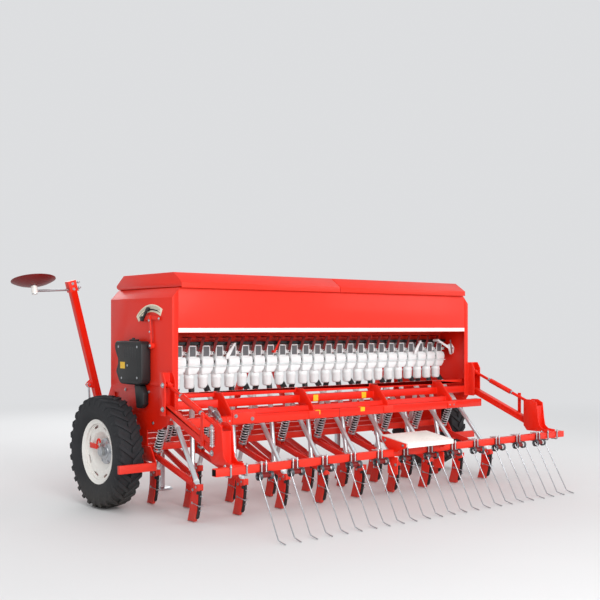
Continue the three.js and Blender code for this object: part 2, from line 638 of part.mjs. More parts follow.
// Rim, dished wheel disc and hub turn as one piece on the stub axle.
function rim() {
  const bore = AXLE_RADIUS + 1;
  const edge = RIM_RADIUS - 14;
  const inner = TYRE_INNER_X + 42;
  const outer = TYRE_OUTER_X - 42;
  return turnedX([
    [bore, HUB_X - 60], [HUB_OUTER_RADIUS, HUB_X - 60], [HUB_OUTER_RADIUS, HUB_X + 10],
    [180, HUB_X + 34], [edge - 8, HUB_X + 34], [edge - 8, inner], [edge, inner], [edge, outer],
    [edge - 8, outer], [edge - 8, HUB_X + 42], [174, HUB_X + 42], [HUB_OUTER_RADIUS, HUB_X + 18],
    [HUB_OUTER_RADIUS - 8, HUB_X + 46], [bore, HUB_X + 46], [bore, HUB_X - 60],
  ], AXLE_Y, WHEEL_RADIUS, WHEEL_SIDES);
}
addPair("rim", rim(), WHITE);

function stubAxle() {
  const start = SIDE_OUTER + GAP;
  const boss = rod([start, AXLE_Y, WHEEL_RADIUS], [start + 60, AXLE_Y, WHEEL_RADIUS], 55, 12);
  const end = HUB_X + 46;
  return join([boss, rod([start, AXLE_Y, WHEEL_RADIUS], [end, AXLE_Y, WHEEL_RADIUS], AXLE_RADIUS, 12)]);
}
addPair("stub_axle", stubAxle(), ZINC);

// A mud scraper behind the tyre, on a plate bolted to the side plate.
function scraper() {
  const rear = AXLE_Y - WHEEL_RADIUS - 53;
  const start = SIDE_OUTER + GAP;
  const arm = plateYZ([
    [rear + 49, 365], [RANK_BEAM_Y + 60, 365], [RANK_BEAM_Y + 60, 470], [rear + 72, 470],
    [rear + 5, 365], [rear + 5, 307], [rear + 30, 307],
  ], start, start + 12);
  return join([arm, box(start + 2, TYRE_OUTER_X + 43, rear, rear + 27, 307, 365)]);
}
addPair("scraper", scraper(), RED);

// ---- row markers --------------------------------------------------------------------------
const LEAN_RAD = THREE.MathUtils.degToRad(MARKER_LEAN);
const alongArm = (distance) => [
  MARKER_X + distance * Math.sin(LEAN_RAD), MARKER_Z + distance * Math.cos(LEAN_RAD),
];
const MARKER_BACK_Y = FRONT_BEAM_FRONT_Y + GAP;
const MARKER_HALF = MARKER_TUBE / 2;

function tiltedBox(from, to, width, y0, y1) {
  const a = alongArm(from);
  const b = alongArm(to);
  const nx = Math.cos(LEAN_RAD) * (width / 2);
  const nz = -Math.sin(LEAN_RAD) * (width / 2);
  return plateXZ([
    [a[0] + nx, a[1] + nz], [b[0] + nx, b[1] + nz], [b[0] - nx, b[1] - nz], [a[0] - nx, a[1] - nz],
  ], y0, y1);
}

function markerBracket() {
  const back = MARKER_BACK_Y;
  const front = MARKER_Y + MARKER_HALF + 2;
  const left = MARKER_X - 43;
  const plate = plateXZ([
    [left, 360], [RAM_BASE_X - 40, RAM_BASE_Z - 35], [RAM_BASE_X + 30, RAM_BASE_Z - 35],
    [RAM_BASE_X + 30, RAM_BASE_Z + 40], [MARKER_X + 50, 480], [MARKER_X + 50, 600], [left, 600],
  ], back, back + 10);
  const webs = [
    box(left, left + 8, back + 5, front + 8, 480, 600),
    box(RAM_BASE_X - 30, RAM_BASE_X + 30, back + 5, front + 8, RAM_BASE_Z - 35, RAM_BASE_Z - 27),
  ];
  const cheeks = [
    box(left, MARKER_X + 37, front, front + 8, 520, 600),
    box(RAM_BASE_X - 30, RAM_BASE_X + 30, front, front + 8, RAM_BASE_Z - 35, RAM_BASE_Z + 22),
  ];
  const pin = rod([MARKER_X, back + 5, MARKER_Z], [MARKER_X, front + 4, MARKER_Z], PIN_RADIUS, 12);
  const ramPin = rod([RAM_BASE_X, back + 5, RAM_BASE_Z], [RAM_BASE_X, front + 4, RAM_BASE_Z], 8, 10);
  return join([plate, ...webs, ...cheeks, pin, ramPin]);
}
addPair("marker_bracket", markerBracket(), RED);

const HEAD_FROM = MARKER_LENGTH - 84;
const RAM_LUG_FROM = 295;
const [HEAD_X, HEAD_Z] = alongArm(MARKER_LENGTH - 42);
const ROD_TILT = 0.0568;
const rodAt = (reach) => [HEAD_X + reach, MARKER_Y, HEAD_Z - 26 - reach * ROD_TILT];

function markerArm() {
  const y0 = MARKER_Y - MARKER_HALF;
  const y1 = MARKER_Y + MARKER_HALF;
  const arm = tiltedBox(-18, HEAD_FROM + 10, MARKER_TUBE, y0, y1);
  const foot = rod([MARKER_X, y0, MARKER_Z], [MARKER_X, y1, MARKER_Z], 28, 14);
  const head = tiltedBox(HEAD_FROM, MARKER_LENGTH, MARKER_TUBE + 16, y0 - 5, y1 + 5);
  const inner = alongArm(RAM_LUG_FROM);
  const outer = alongArm(RAM_LUG_FROM + 90);
  const fork = [
    [inner[0], inner[1]], [RAM_EYE_X + 4, RAM_EYE_Z - 20], [RAM_EYE_X + 20, RAM_EYE_Z],
    [RAM_EYE_X + 6, RAM_EYE_Z + 20], [outer[0], outer[1]],
  ];
  const forks = [plateXZ(fork, y0 + 4, y0 + 12), plateXZ(fork, y1 - 12, y1 - 4)];
  const bore = rod([MARKER_X, y0 - 5, MARKER_Z], [MARKER_X, y1 + 5, MARKER_Z], PIN_RADIUS + 1, 12);
  const rodHole = rod([...rodAt(-75)], [...rodAt(MARKER_REACH)], MARKER_ROD + GAP, 10);
  return cut(join([arm, foot, head, ...forks]), [bore, rodHole]);
}
addPair("marker_arm", markerArm(), RED);

// The disc turns on a hub at the end of a rod that is clamped in the head. The hub leans forward.
const HUB_LEAN = THREE.MathUtils.degToRad(14);
const alongHub = (distance) => {
  const end = rodAt(MARKER_REACH);
  return [end[0], MARKER_Y + distance * Math.sin(HUB_LEAN), end[2] + distance * Math.cos(HUB_LEAN)];
};

function markerAxle() {
  const end = rodAt(MARKER_REACH);
  const hub = rod(alongHub(-24), alongHub(HUB_LENGTH - 24), HUB_RADIUS, 12);
  return join([rod(rodAt(-60), end, MARKER_ROD, 10), hub]);
}
addPair("marker_axle", markerAxle(), ZINC);

// A bowl that stands on the hub with its hollow side up.
function markerDisc() {
  const under = [[0, 0], [50, 0], [120, 19], [DISC_RADIUS, DISC_DISH]];
  const top = [[DISC_RADIUS, DISC_DISH + 4], [118, 25], [48, 6], [0, 6]];
  const points = [...under, ...top].map(([r, h]) => new THREE.Vector2(r, h));
  return new THREE.LatheGeometry(points, 20).rotateX(Math.PI / 2 - HUB_LEAN)
    .translate(...alongHub(HUB_LENGTH - 24 + GAP + 0.2));
}
addPair("marker_disc", markerDisc(), DARK_RED);

const RAM_ALONG = new THREE.Vector2(RAM_EYE_X - RAM_BASE_X, RAM_EYE_Z - RAM_BASE_Z);
const RAM_LENGTH = RAM_ALONG.length();
const ramPoint = (distance) => [
  RAM_BASE_X + (RAM_ALONG.x * distance) / RAM_LENGTH, MARKER_Y, RAM_BASE_Z + (RAM_ALONG.y * distance) / RAM_LENGTH,
];

function ramBarrel() {
  const eye = rod([RAM_BASE_X, MARKER_Y - 12, RAM_BASE_Z], [RAM_BASE_X, MARKER_Y + 12, RAM_BASE_Z], 18, 12);
  const barrel = rod(ramPoint(12), ramPoint(BARREL_LENGTH), BARREL_RADIUS, 12);
  const hole = rod([RAM_BASE_X, MARKER_Y - 30, RAM_BASE_Z], [RAM_BASE_X, MARKER_Y + 30, RAM_BASE_Z], 8.8, 12);
  const bore = rod(ramPoint(24), ramPoint(BARREL_LENGTH + 10), RAM_ROD_RADIUS + 0.6, 10);
  return cut(join([eye, barrel]), [hole, bore]);
}
addPair("marker_cylinder", ramBarrel(), BLACK);

function ramRod() {
  const eye = rod([RAM_EYE_X, MARKER_Y - 10, RAM_EYE_Z], [RAM_EYE_X, MARKER_Y + 10, RAM_EYE_Z], 16, 12);
  return join([eye, rod(ramPoint(BARREL_LENGTH - 16), ramPoint(RAM_LENGTH - 5), RAM_ROD_RADIUS, 10)]);
}
addPair("marker_ram", ramRod(), ZINC);

// ---- following harrow ------------------------------------------------------------------------
const CHEEK_INNER = SIDE_OUTER + GAP + CHEEK;
const CHEEK_OUTER = CHEEK_INNER + CHEEK_SPACE;
const ARM_X = (CHEEK_INNER + CHEEK_OUTER) / 2;
const CARRIER_Y = ARM_PIVOT_Y - ARM_RUN;
const CARRIER_Z = ARM_PIVOT_Z - ARM_DROP;
const PIVOT = 10;

function harrowBracket() {
  const bottom = END_BOTTOM_Z - 1;
  const lug = (front) => [
    [ARM_PIVOT_Y - 25, bottom], [HOPPER_REAR_Y + front, bottom], [HOPPER_REAR_Y + front, 1010],
    [ARM_PIVOT_Y + 5, 1010], [ARM_PIVOT_Y - 25, 960],
  ];
  const parts = [
    plateYZ(lug(60), SIDE_OUTER + GAP, CHEEK_INNER),
    plateYZ(lug(8), CHEEK_OUTER, CHEEK_OUTER + CHEEK),
    box(CHEEK_INNER - 2, CHEEK_OUTER + 2, HOPPER_REAR_Y, HOPPER_REAR_Y + 8, bottom, 1010),
  ];
  for (const z of [ARM_PIVOT_Z, ARM_PIVOT_Z + LINK_RISE]) {
    parts.push(rod([CHEEK_INNER - 4, ARM_PIVOT_Y, z], [CHEEK_OUTER + CHEEK + 8, ARM_PIVOT_Y, z], PIVOT, 10));
  }
  return join(parts);
}
addPair("harrow_bracket", harrowBracket(), RED);

const pivotHole = (y, z, radius) => rod([ARM_X - 60, y, z], [ARM_X + 60, y, z], radius, 10);
const STRUT_SHARE = 0.78; // where the middle strut sits along the arm
const strutPin = [ARM_PIVOT_Y - ARM_RUN * STRUT_SHARE, ARM_PIVOT_Z - ARM_DROP * STRUT_SHARE];

function harrowArm() {
  const x0 = ARM_X - ARM_WIDTH / 2;
  const x1 = ARM_X + ARM_WIDTH / 2;
  const bar = flatBar([ARM_PIVOT_Y, ARM_PIVOT_Z], [CARRIER_Y, CARRIER_Z], ARM_HEIGHT, x0, x1);
  const eyes = [[ARM_PIVOT_Y, ARM_PIVOT_Z], [CARRIER_Y, CARRIER_Z]].map(
    ([y, z]) => rod([x0, y, z], [x1, y, z], ARM_HEIGHT / 2, 12),
  );
  const holes = [
    pivotHole(ARM_PIVOT_Y, ARM_PIVOT_Z, PIVOT + 0.6), pivotHole(CARRIER_Y, CARRIER_Z, PIVOT + 0.6),
  ];
  const pin = rod([x1 - 4, ...strutPin], [x1 + 14, ...strutPin], 8, 8);
  return join([cut(join([bar, ...eyes]), holes), pin]);
}
addPair("harrow_arm", harrowArm(), RED);

function harrowLink() {
  const a = [ARM_X, ARM_PIVOT_Y, ARM_PIVOT_Z + LINK_RISE];
  const b = [ARM_X, CARRIER_Y, CARRIER_Z + LINK_RISE];
  const at = (share) => a.map((value, i) => value + (b[i] - value) * share);
  const eye = ([, y, z]) => rod([ARM_X - 13, y, z], [ARM_X + 13, y, z], 22, 12);
  const body = join([rod(a, b, LINK_RADIUS, 8), rod(at(0.3), at(0.66), SLEEVE_RADIUS, 8), eye(a), eye(b),
    rod([ARM_X, strutPin[0], strutPin[1] + LINK_RISE], [ARM_X + 39, strutPin[0], strutPin[1] + LINK_RISE], 8, 8)]);
  return cut(body, [pivotHole(a[1], a[2], PIVOT + 0.6), pivotHole(b[1], b[2], PIVOT + 0.6)]);
}
addPair("harrow_link", harrowLink(), RED);

// A strap plate outside the arm and the link, on a pin through each.
function harrowStrut() {
  const [y, z] = strutPin;
  const x0 = ARM_X + ARM_WIDTH / 2 + 3;
  const outline = [
    [y - 16, z - 20], [y + 16, z - 20], [y + 16, z + LINK_RISE + 22], [y - 16, z + LINK_RISE + 22],
  ];
  return cut(plateYZ(outline, x0, x0 + 7), [pivotHole(y, z, 8.6), pivotHole(y, z + LINK_RISE, 8.6)]);
}
addPair("harrow_strut", harrowStrut(), RED);

const HARROW_TOP_Z = HARROW_BEAM_Z + HARROW_BEAM;

function harrowEnd() {
  const base = HARROW_TOP_Z + GAP;
  const pinTop = CARRIER_Z + LINK_RISE;
  const outline = [
    [HARROW_BEAM_Y, base], [CARRIER_Y - 5, base], [CARRIER_Y + 30, CARRIER_Z - 26],
    [CARRIER_Y + 30, pinTop + 14], [CARRIER_Y + 5, pinTop + 30], [CARRIER_Y - 55, pinTop + 30],
    [CARRIER_Y - 103, pinTop + 6], [CARRIER_Y - 118, CARRIER_Z + 40], [CARRIER_Y - 130, base + 50],
    [CARRIER_Y - 160, base + 26], [HARROW_BEAM_Y, base + 20],
  ];
  const parts = [
    plateYZ(outline, CHEEK_INNER - CHEEK, CHEEK_INNER),
    plateYZ(outline, CHEEK_OUTER, CHEEK_OUTER + CHEEK),
    box(CHEEK_INNER - 2, CHEEK_OUTER + 2, HARROW_BEAM_Y, CARRIER_Y - 90, base, base + 8),
    box(CHEEK_INNER - 2, CHEEK_OUTER + 2, CARRIER_Y - 98, CARRIER_Y - 90, base + 4, pinTop - 20),
  ];
  for (const z of [CARRIER_Z, pinTop]) {
    parts.push(rod([CHEEK_INNER - 4, CARRIER_Y, z], [CHEEK_OUTER + CHEEK + 8, CARRIER_Y, z], PIVOT, 10));
  }
  return join(parts);
}
addPair("harrow_end", harrowEnd(), RED);

// The beam with its spring tines: a coil under the beam and a long wire that trails on the ground.
function harrowBeam() {
  const y = HARROW_BEAM_Y;
  const parts = [box(-HARROW_HALF, HARROW_HALF, y, y + HARROW_BEAM, HARROW_BEAM_Z, HARROW_TOP_Z)];
  const coilZ = HARROW_BEAM_Z - 20;
  const heel = 78 - REAR_REACH;
  const wire = [
    [y - 8, coilZ - 5], [heel, 13], [-REAR_REACH, 3], [-REAR_REACH, 3 + TINE], [heel - 7, 13 + TINE],
    [y - 17, coilZ],
  ];
  for (let tine = 0; tine < TINE_COUNT; tine += 1) {
    const x = (tine - (TINE_COUNT - 1) / 2) * TINE_PITCH;
    parts.push(plateYZ(wire, x - TINE / 2, x + TINE / 2));
    parts.push(rod([x - 20, y - 12, coilZ + 6], [x + 20, y - 12, coilZ + 6], 25, 6));
  }
  return join(parts);
}
addPiece("harrow_beam", harrowBeam(), RED);

// A folded tread plate that leans back, on two brackets round the harrow beam.
function step() {
  const rear = STEP_FRONT_Y - STEP_RUN;
  const rearZ = STEP_Z - STEP_DROP;
  const front = STEP_FRONT_Y;
  const tread = plateYZ([
    [rear, rearZ - STEP_RIM + 8], [rear + SHEET, rearZ - STEP_RIM + 8], [rear + SHEET, rearZ - SHEET],
    [front - SHEET, STEP_Z - SHEET], [front - SHEET, STEP_Z - 30], [front, STEP_Z - 30], [front, STEP_Z],
    [rear, rearZ],
  ], -STEP_HALF, STEP_HALF);
  const slope = STEP_DROP / STEP_RUN;
  const wing = [
    [-900, 280], [-800, 280], [-800, 460], [front - 15, STEP_Z - SHEET - 15 * slope - 1],
    [front - 15, STEP_Z - SHEET - 15 * slope + 2], [rear + 15, rearZ - SHEET + 15 * slope + 2],
    [rear + 15, rearZ - SHEET + 15 * slope - 1], [-900, 440],
  ];
  const hole = box(
    -STEP_HALF - 10, STEP_HALF + 10, HARROW_BEAM_Y - GAP, HARROW_BEAM_Y + HARROW_BEAM + GAP,
    HARROW_BEAM_Z - GAP, HARROW_TOP_Z + GAP,
  );
  const wings = [plateYZ(wing, -STEP_HALF - 8, -STEP_HALF + 2), plateYZ(wing, STEP_HALF - 2, STEP_HALF + 8)];
  return join([tread, ...wings.map((plate) => cut(plate, [hole]))]);
}
addPiece("step", step(), WHITE);

// ---- parking stands ---------------------------------------------------------------------------
function stand() {
  const half = STAND_TUBE / 2;
  const leg = box(STAND_X - half, STAND_X + half, STAND_Y - half, STAND_Y + half, 6, STAND_TOP_Z);
  const foot = new THREE.CylinderGeometry(STAND_FOOT_RADIUS - 18, STAND_FOOT_RADIUS, 14, 16)
    .rotateX(Math.PI / 2).translate(STAND_X, STAND_Y, 7);
  return join([leg, foot]);
}
addPair("stand", stand(), ZINC);

// While it is built, Y counts from the hopper's rear face; the origin is the middle of the whole.
const extent = new THREE.Box3().setFromObject(drill);
const MIDDLE_Y = (extent.min.y + extent.max.y) / 2;
for (const mesh of drill.children) mesh.geometry.translate(0, -MIDDLE_Y, 0);

export default drill;
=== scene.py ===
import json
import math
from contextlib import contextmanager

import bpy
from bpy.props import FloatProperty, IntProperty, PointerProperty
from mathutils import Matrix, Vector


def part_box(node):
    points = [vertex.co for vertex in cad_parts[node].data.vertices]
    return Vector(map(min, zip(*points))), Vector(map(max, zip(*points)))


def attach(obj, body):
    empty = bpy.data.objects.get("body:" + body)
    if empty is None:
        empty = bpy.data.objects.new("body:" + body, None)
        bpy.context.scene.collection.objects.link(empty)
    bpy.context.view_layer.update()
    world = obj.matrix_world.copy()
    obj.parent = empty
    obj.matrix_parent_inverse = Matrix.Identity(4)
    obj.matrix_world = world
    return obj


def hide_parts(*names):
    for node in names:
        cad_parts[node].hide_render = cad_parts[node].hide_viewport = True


bl_info = {
    "name": "Mounted Seed Drill",
    "version": (1, 0, 0),
    "blender": (4, 5, 0),
    "location": "View3D > Sidebar > Seed Drill",
    "description": "Models the visible pieces of a mounted seed drill on its packed frame",
    "category": "Object",
}

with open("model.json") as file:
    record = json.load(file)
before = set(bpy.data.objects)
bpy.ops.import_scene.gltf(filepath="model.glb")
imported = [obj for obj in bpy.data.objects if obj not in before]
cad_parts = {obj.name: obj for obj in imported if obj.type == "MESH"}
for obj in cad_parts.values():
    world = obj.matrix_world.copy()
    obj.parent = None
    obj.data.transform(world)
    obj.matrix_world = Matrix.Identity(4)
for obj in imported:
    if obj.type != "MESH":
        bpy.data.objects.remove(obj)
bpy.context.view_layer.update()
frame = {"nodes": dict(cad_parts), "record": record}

MM = 0.001
# Sizes below are millimetres; Y counts from the hopper's rear face and Z from the ground.
REAR_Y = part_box("hopper_rear_wall")[0].y
HOPPER_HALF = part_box("hopper_end_right")[1].x / MM
UNIT_PITCH = 120.0
UNIT_COUNT = 25
ROW_PITCH = 125.0
ROW_COUNT = 25
RANK_PITCH = 305.0
RANK_OF_ROW = (0, 2, 1)
RANKS = ("rear", "middle", "front")
# How much farther back than the others the arms of each rank reach.
REACH = (150.0, 0.0, 0.0)
TINE_PITCH = 127.0
TINE_COUNT = 24
SPOUT_Y = 283.0
AXLE = (656.0, 413.0)
TYRE_X = 1705.0
# Marker: the arm's pivot, its lean from upright, the disc's hub and its tilt.
MARKER_PIVOT = (1463, 1135, 560)
MARKER_LEAN = math.radians(14.57)
DISC_HUB = (2044.24, 1135, 1594.97)
DISC_TILT = math.radians(14.0)
# Doubled points closer than this many metres are merged; edges bent more than this many degrees are rounded.
MERGE = 0.00002
BEVEL_ANGLE = 32
# Camera: place in metres, yaw, lens and sensor in millimetres, upward shift.
CAMERA_PLACE = (-5.103, -5.784 + REAR_Y, 1.3225)
CAMERA_YAW = math.radians(-39.135)
CAMERA_LENS, CAMERA_SENSOR, CAMERA_SHIFT = 58.28, 36, 0.0455
# Slot and finish of the commonest pieces.
RED = ("red_paint", "red")
ZINC = ("zinc_plate", "zinc")
BLACK = ("black_plastic", "black")
WHITE = ("white_paint", "white")


# ---- finishes ------------------------------------------------------------------------------

def linear(hexcode):
    """An sRGB hex colour as linear RGBA."""
    parts = [int(hexcode[i:i + 2], 16) / 255 for i in (0, 2, 4)]
    return tuple(c / 12.92 if c <= 0.04045 else ((c + 0.055) / 1.055) ** 2.4 for c in parts) + (1.0,)


def add_node(tree, kind, values=None, links=None):
    """A node with its settings (attributes or input values) and its incoming links."""
    made = tree.nodes.new("ShaderNode" + kind)
    for key, value in (values or {}).items():
        if isinstance(key, str) and hasattr(made, key):
            setattr(made, key, value)
        else:
            made.inputs[key].default_value = value
    for key, socket in (links or {}).items():
        tree.links.new(socket, made.inputs[key])
    return made


def surface(name, shader_values, colours, grain_mm, rough, bump_mm, bump_strength, dirt=0.0, edge_highlight=None):
    """A material whose colour drifts between two tones, with uneven gloss and a fine relief."""
    material = bpy.data.materials.new(name)
    material.use_nodes = True
    tree = material.node_tree
    shader = tree.nodes["Principled BSDF"]
    place = add_node(tree, "TexCoord").outputs["Object"]
    patches = add_node(tree, "TexNoise", {"Scale": 1 / (grain_mm * MM), "Detail": 4.0}, {"Vector": place})
    tone = add_node(tree, "Mix", {"data_type": "RGBA", 6: linear(colours[0]), 7: linear(colours[1])},
        {0: patches.outputs["Fac"]})
    colour = tone.outputs[2]
    # Sharp convex edges are mixed towards a lighter tone: a painted highlight along the edges.
    if edge_highlight:
        edge = add_node(tree, "NewGeometry").outputs["Pointiness"]
        rub = add_node(tree, "MapRange", {"From Min": 0.53, "From Max": 0.62, "To Max": 0.55},
            {"Value": edge})
        colour = add_node(tree, "Mix", {"data_type": "RGBA", 7: linear(edge_highlight)},
            {0: rub.outputs["Result"], 6: colour}).outputs[2]
    if dirt:
        height = add_node(tree, "SeparateXYZ", None, {"Vector": place}).outputs["Z"]
        low = add_node(tree, "MapRange", {"From Min": 0.25, "From Max": 0.0, "To Max": dirt},
            {"Value": height})
        spots = add_node(tree, "TexNoise", {"Scale": 38.0, "Detail": 6.0}, {"Vector": place})
        amount = add_node(tree, "Math", {"operation": "MULTIPLY"},
            {0: low.outputs["Result"], 1: spots.outputs["Fac"]})
        colour = add_node(tree, "Mix", {"data_type": "RGBA", 7: linear("8A7F70")},
            {0: amount.outputs["Value"], 6: colour}).outputs[2]
    tree.links.new(colour, shader.inputs["Base Color"])
    smudges = add_node(tree, "TexNoise", {"Scale": 9.0, "Detail": 5.0, "Roughness": 0.6}, {"Vector": place})
    gloss = add_node(tree, "MapRange", {"To Min": rough[0], "To Max": rough[1]},
        {"Value": smudges.outputs["Fac"]})
    tree.links.new(gloss.outputs["Result"], shader.inputs["Roughness"])
    relief = add_node(tree, "TexNoise", {"Scale": 1 / (bump_mm * MM), "Detail": 3.0}, {"Vector": place})
    bump = add_node(tree, "Bump", {"Strength": bump_strength, "Distance": 0.001},
        {"Height": relief.outputs["Fac"]})
    tree.links.new(bump.outputs["Normal"], shader.inputs["Normal"])
    for key, value in shader_values.items():
        shader.inputs[key].default_value = value
    return material


FINISH = {}
BACKDROP, BACKDROP_STRENGTH = "E8E9EB", 0.9
# Soft lamps: name, place in metres, width in metres and power in watts.
LAMPS = (
    ("key_light", (-3.6, -8.2, 5.2), 4.5, 470.0), ("low_fill_light", (-2.0, -8.8, 1.6), 4.0, 190.0),
    ("side_fill_light", (6.0, -5.0, 4.0), 5.0, 120.0), ("front_light", (2.0, 7.5, 5.0), 6.0, 260.0),
)


def mix_finishes():
    """Every finish, each named for what the real one is; the open gap black and, in part, the dark red stand
    for painted shade.
    """
    # Sprayed and baked machine enamel: glossy, with a faint orange peel about 3 mm wide drawn at 6 mm.
    # Its lighter edge tone F0503F is a painted highlight on the sharp edges.
    FINISH["red"] = surface("machine_enamel_red", {"Coat Weight": 0.08, "Coat Roughness": 0.12,
        "Specular IOR Level": 0.22}, ("E6220B", "D81B08"), 240, (0.28, 0.42), 6, 0.06, edge_highlight="F0503F")
    # A little darker enamel for the parts near the soil, dusty in spots below 0.25 m; its lighter edge tone
    # F0604F is a painted highlight on the sharp edges.
    FINISH["red_low"] = surface("machine_enamel_red_near_soil",
        {"Coat Weight": 0.08, "Coat Roughness": 0.2, "Specular IOR Level": 0.22}, ("DE1D0B", "C9160A"), 120,
        (0.32, 0.48), 6, 0.08, dirt=0.35, edge_highlight="F0604F")
    # Deep red enamel on the pressed discs: darker and a little duller. On the braces and clamps, which are
    # red enamel, this darker tone is painted shade.
    FINISH["dark_red"] = surface("dark_red_enamel_and_painted_shade", {"Specular IOR Level": 0.35}, ("7C0D0B", "680A08"),
        90, (0.36, 0.46), 6, 0.03)
    # White enamel on rims and tread: soft gloss, slightly creamy.
    FINISH["white"] = surface("machine_enamel_white", {"Coat Weight": 0.25, "Coat Roughness": 0.15},
        ("F2F0EB", "E6E3DC"), 180, (0.30, 0.42), 6, 0.05, dirt=0.12)
    # Injection-moulded white ABS: a satin skin with very slight mould flow.
    FINISH["abs"] = surface("moulded_abs_white", {}, ("EEF3F3", "DDE3E3"), 60, (0.34, 0.48), 3, 0.08)
    FINISH["abs_grey"] = surface("moulded_abs_grey", {}, ("6F7073", "5C5D60"), 40, (0.40, 0.55), 3, 0.08)
    FINISH["tube"] = surface("extruded_pe_tube", {}, ("E9E8E6", "CFCFCE"), 90, (0.28, 0.38), 4, 0.05)
    FINISH["tube_grey"] = surface("drawn_steel_tube", {"Metallic": 0.85}, ("E2EDF0", "D0DBDE"), 70,
        (0.3, 0.38), 9, 0.01)
    # Black glass-filled polyamide: matt, with a fine spark-eroded grain of 1 mm drawn at 2 mm.
    FINISH["black"] = surface("moulded_polyamide_black", {}, ("1E1F21", "151617"), 50, (0.45, 0.62), 2, 0.25)
    FINISH["black_paint"] = surface("chassis_enamel_black", {}, ("1B1C1E", "121314"), 80, (0.3, 0.45), 6,
        0.06)
    # Vulcanised tyre rubber: dull, dusty in the tread.
    FINISH["rubber"] = surface("vulcanised_rubber", {"Specular IOR Level": 0.35}, ("2E2F32", "202124"), 70,
        (0.68, 0.86), 4, 0.3, dirt=0.25)
    # Bright zinc plate on bolts, springs and rods: a soft metal shine with cloudy patches.
    FINISH["zinc"] = surface("zinc_plate", {"Metallic": 1.0}, ("C9CBCE", "A3A7AC"), 22, (0.24, 0.42), 2, 0.08)
    FINISH["spring_zinc"] = surface("zinc_plated_spring", {"Metallic": 0.6}, ("DADCDE", "B4B8BC"), 22,
        (0.26, 0.4), 2, 0.06)
    FINISH["spring"] = surface("oiled_spring_steel", {"Metallic": 0.9}, ("6A6C70", "4C4E52"), 30, (0.34, 0.5),
        2, 0.1)
    FINISH["cream"] = surface("printed_scale_cream", {}, ("EDE6CF", "E2D9BD"), 40, (0.4, 0.5), 3, 0.04)
    FINISH["yellow"] = surface("blank_foil_yellow", {}, ("F2C21A", "E8B512"), 40, (0.3, 0.4), 3, 0.03)
    FINISH["shadow"] = surface("open_gap_black", {"Specular IOR Level": 0.1}, ("0B0B0C", "080809"), 30,
        (0.8, 0.9), 3, 0.1)


# ---- modelling by operators ------------------------------------------------------------------

def at(x, y, z):
    """A place given in millimetres from the hopper's rear face, in metres in the frame."""
    return Vector((x * MM, y * MM + REAR_Y, z * MM))


def take(*objects):
    """Selects only these objects; the first is active."""
    for other in list(bpy.context.selected_objects):
        other.select_set(False)
    for obj in objects:
        obj.select_set(True)
    bpy.context.view_layer.objects.active = objects[0]


def drop_all():
    for other in list(bpy.context.selected_objects):
        other.select_set(False)


def bevel(obj, width_mm, segments=2):
    if width_mm:
        take(obj)
        rounded = obj.modifiers.new("edges", "BEVEL")
        rounded.width = width_mm * MM
        rounded.segments = segments
        rounded.limit_method = "ANGLE"
        rounded.angle_limit = math.radians(BEVEL_ANGLE)
        rounded.use_clamp_overlap = True
        bpy.ops.object.modifier_apply(modifier="edges")
    return obj


def outline(points, fill="NGON"):
    """A flat closed outline through the points, started from a circle."""
    drop_all()
    bpy.ops.mesh.primitive_circle_add(vertices=len(points), radius=0.1, fill_type=fill)
    obj = bpy.context.object
    for vertex, point in zip(obj.data.vertices, points):
        vertex.co = point
    return obj


@contextmanager
def editing():
    """Edit mode with the whole mesh selected."""
    bpy.ops.object.mode_set(mode="EDIT")
    bpy.ops.mesh.select_all(action="SELECT")
    yield
    bpy.ops.object.mode_set(mode="OBJECT")


def pushed(points, push, edge=0.0, segments=2):
    """A plate: an outline extruded by a vector in metres, its edges rounded."""
    obj = outline(points)
    with editing():
        bpy.ops.mesh.extrude_region_move(TRANSFORM_OT_translate={"value": push})
        bpy.ops.mesh.select_all(action="SELECT")
        bpy.ops.mesh.normals_make_consistent(inside=False)
    return bevel(obj, edge, segments)


def side_plate(points, x0, x1, edge=0.0, segments=2):
    """A plate with a (y, z) outline from x0 to x1."""
    return pushed([at(x0, y, z) for y, z in points], ((x1 - x0) * MM, 0, 0), edge, segments)


def back_plate(points, y0, y1, edge=0.0, segments=2):
    """A plate with an (x, z) outline from y0 to y1."""
    return pushed([at(x, y0, z) for x, z in points], (0, (y1 - y0) * MM, 0), edge, segments)


def block(x0, x1, y0, y1, z0, z1, edge=0.0, segments=2):
    return side_plate([(y0, z0), (y1, z0), (y1, z1), (y0, z1)], x0, x1, edge, segments)


def cheeks(points, inner, outer, edge):
    """Two like plates, one each side of the middle."""
    return [side_plate(points, -outer, -inner, edge), side_plate(points, inner, outer, edge)]


def rod(start, end, radius, sides=12, edge=0.0):
    """A straight round bar between two places."""
    a, b = at(*start), at(*end)
    along = b - a
    drop_all()
    bpy.ops.mesh.primitive_cylinder_add(vertices=sides, radius=radius * MM, depth=along.length,
        location=(a + b) / 2, rotation=along.to_track_quat("Z", "Y").to_euler())
    bpy.ops.object.transform_apply(location=True, rotation=True, scale=True)
    return bevel(bpy.context.object, edge, 1)


def turned(profile, centre, axis, steps=32):
    """A turned piece: a closed (radius, height) profile spun about an axis through a place."""
    axis = Vector(axis).normalized()
    out = axis.orthogonal().normalized()
    middle = at(*centre)
    obj = outline([middle + out * (r * MM) + axis * (h * MM) for r, h in profile], "NOTHING")
    with editing():
        bpy.ops.mesh.spin(steps=steps, angle=math.tau, center=middle, axis=axis)
        bpy.ops.mesh.select_all(action="SELECT")
        bpy.ops.mesh.remove_doubles(threshold=MERGE)
        bpy.ops.mesh.normals_make_consistent(inside=False)
    return obj


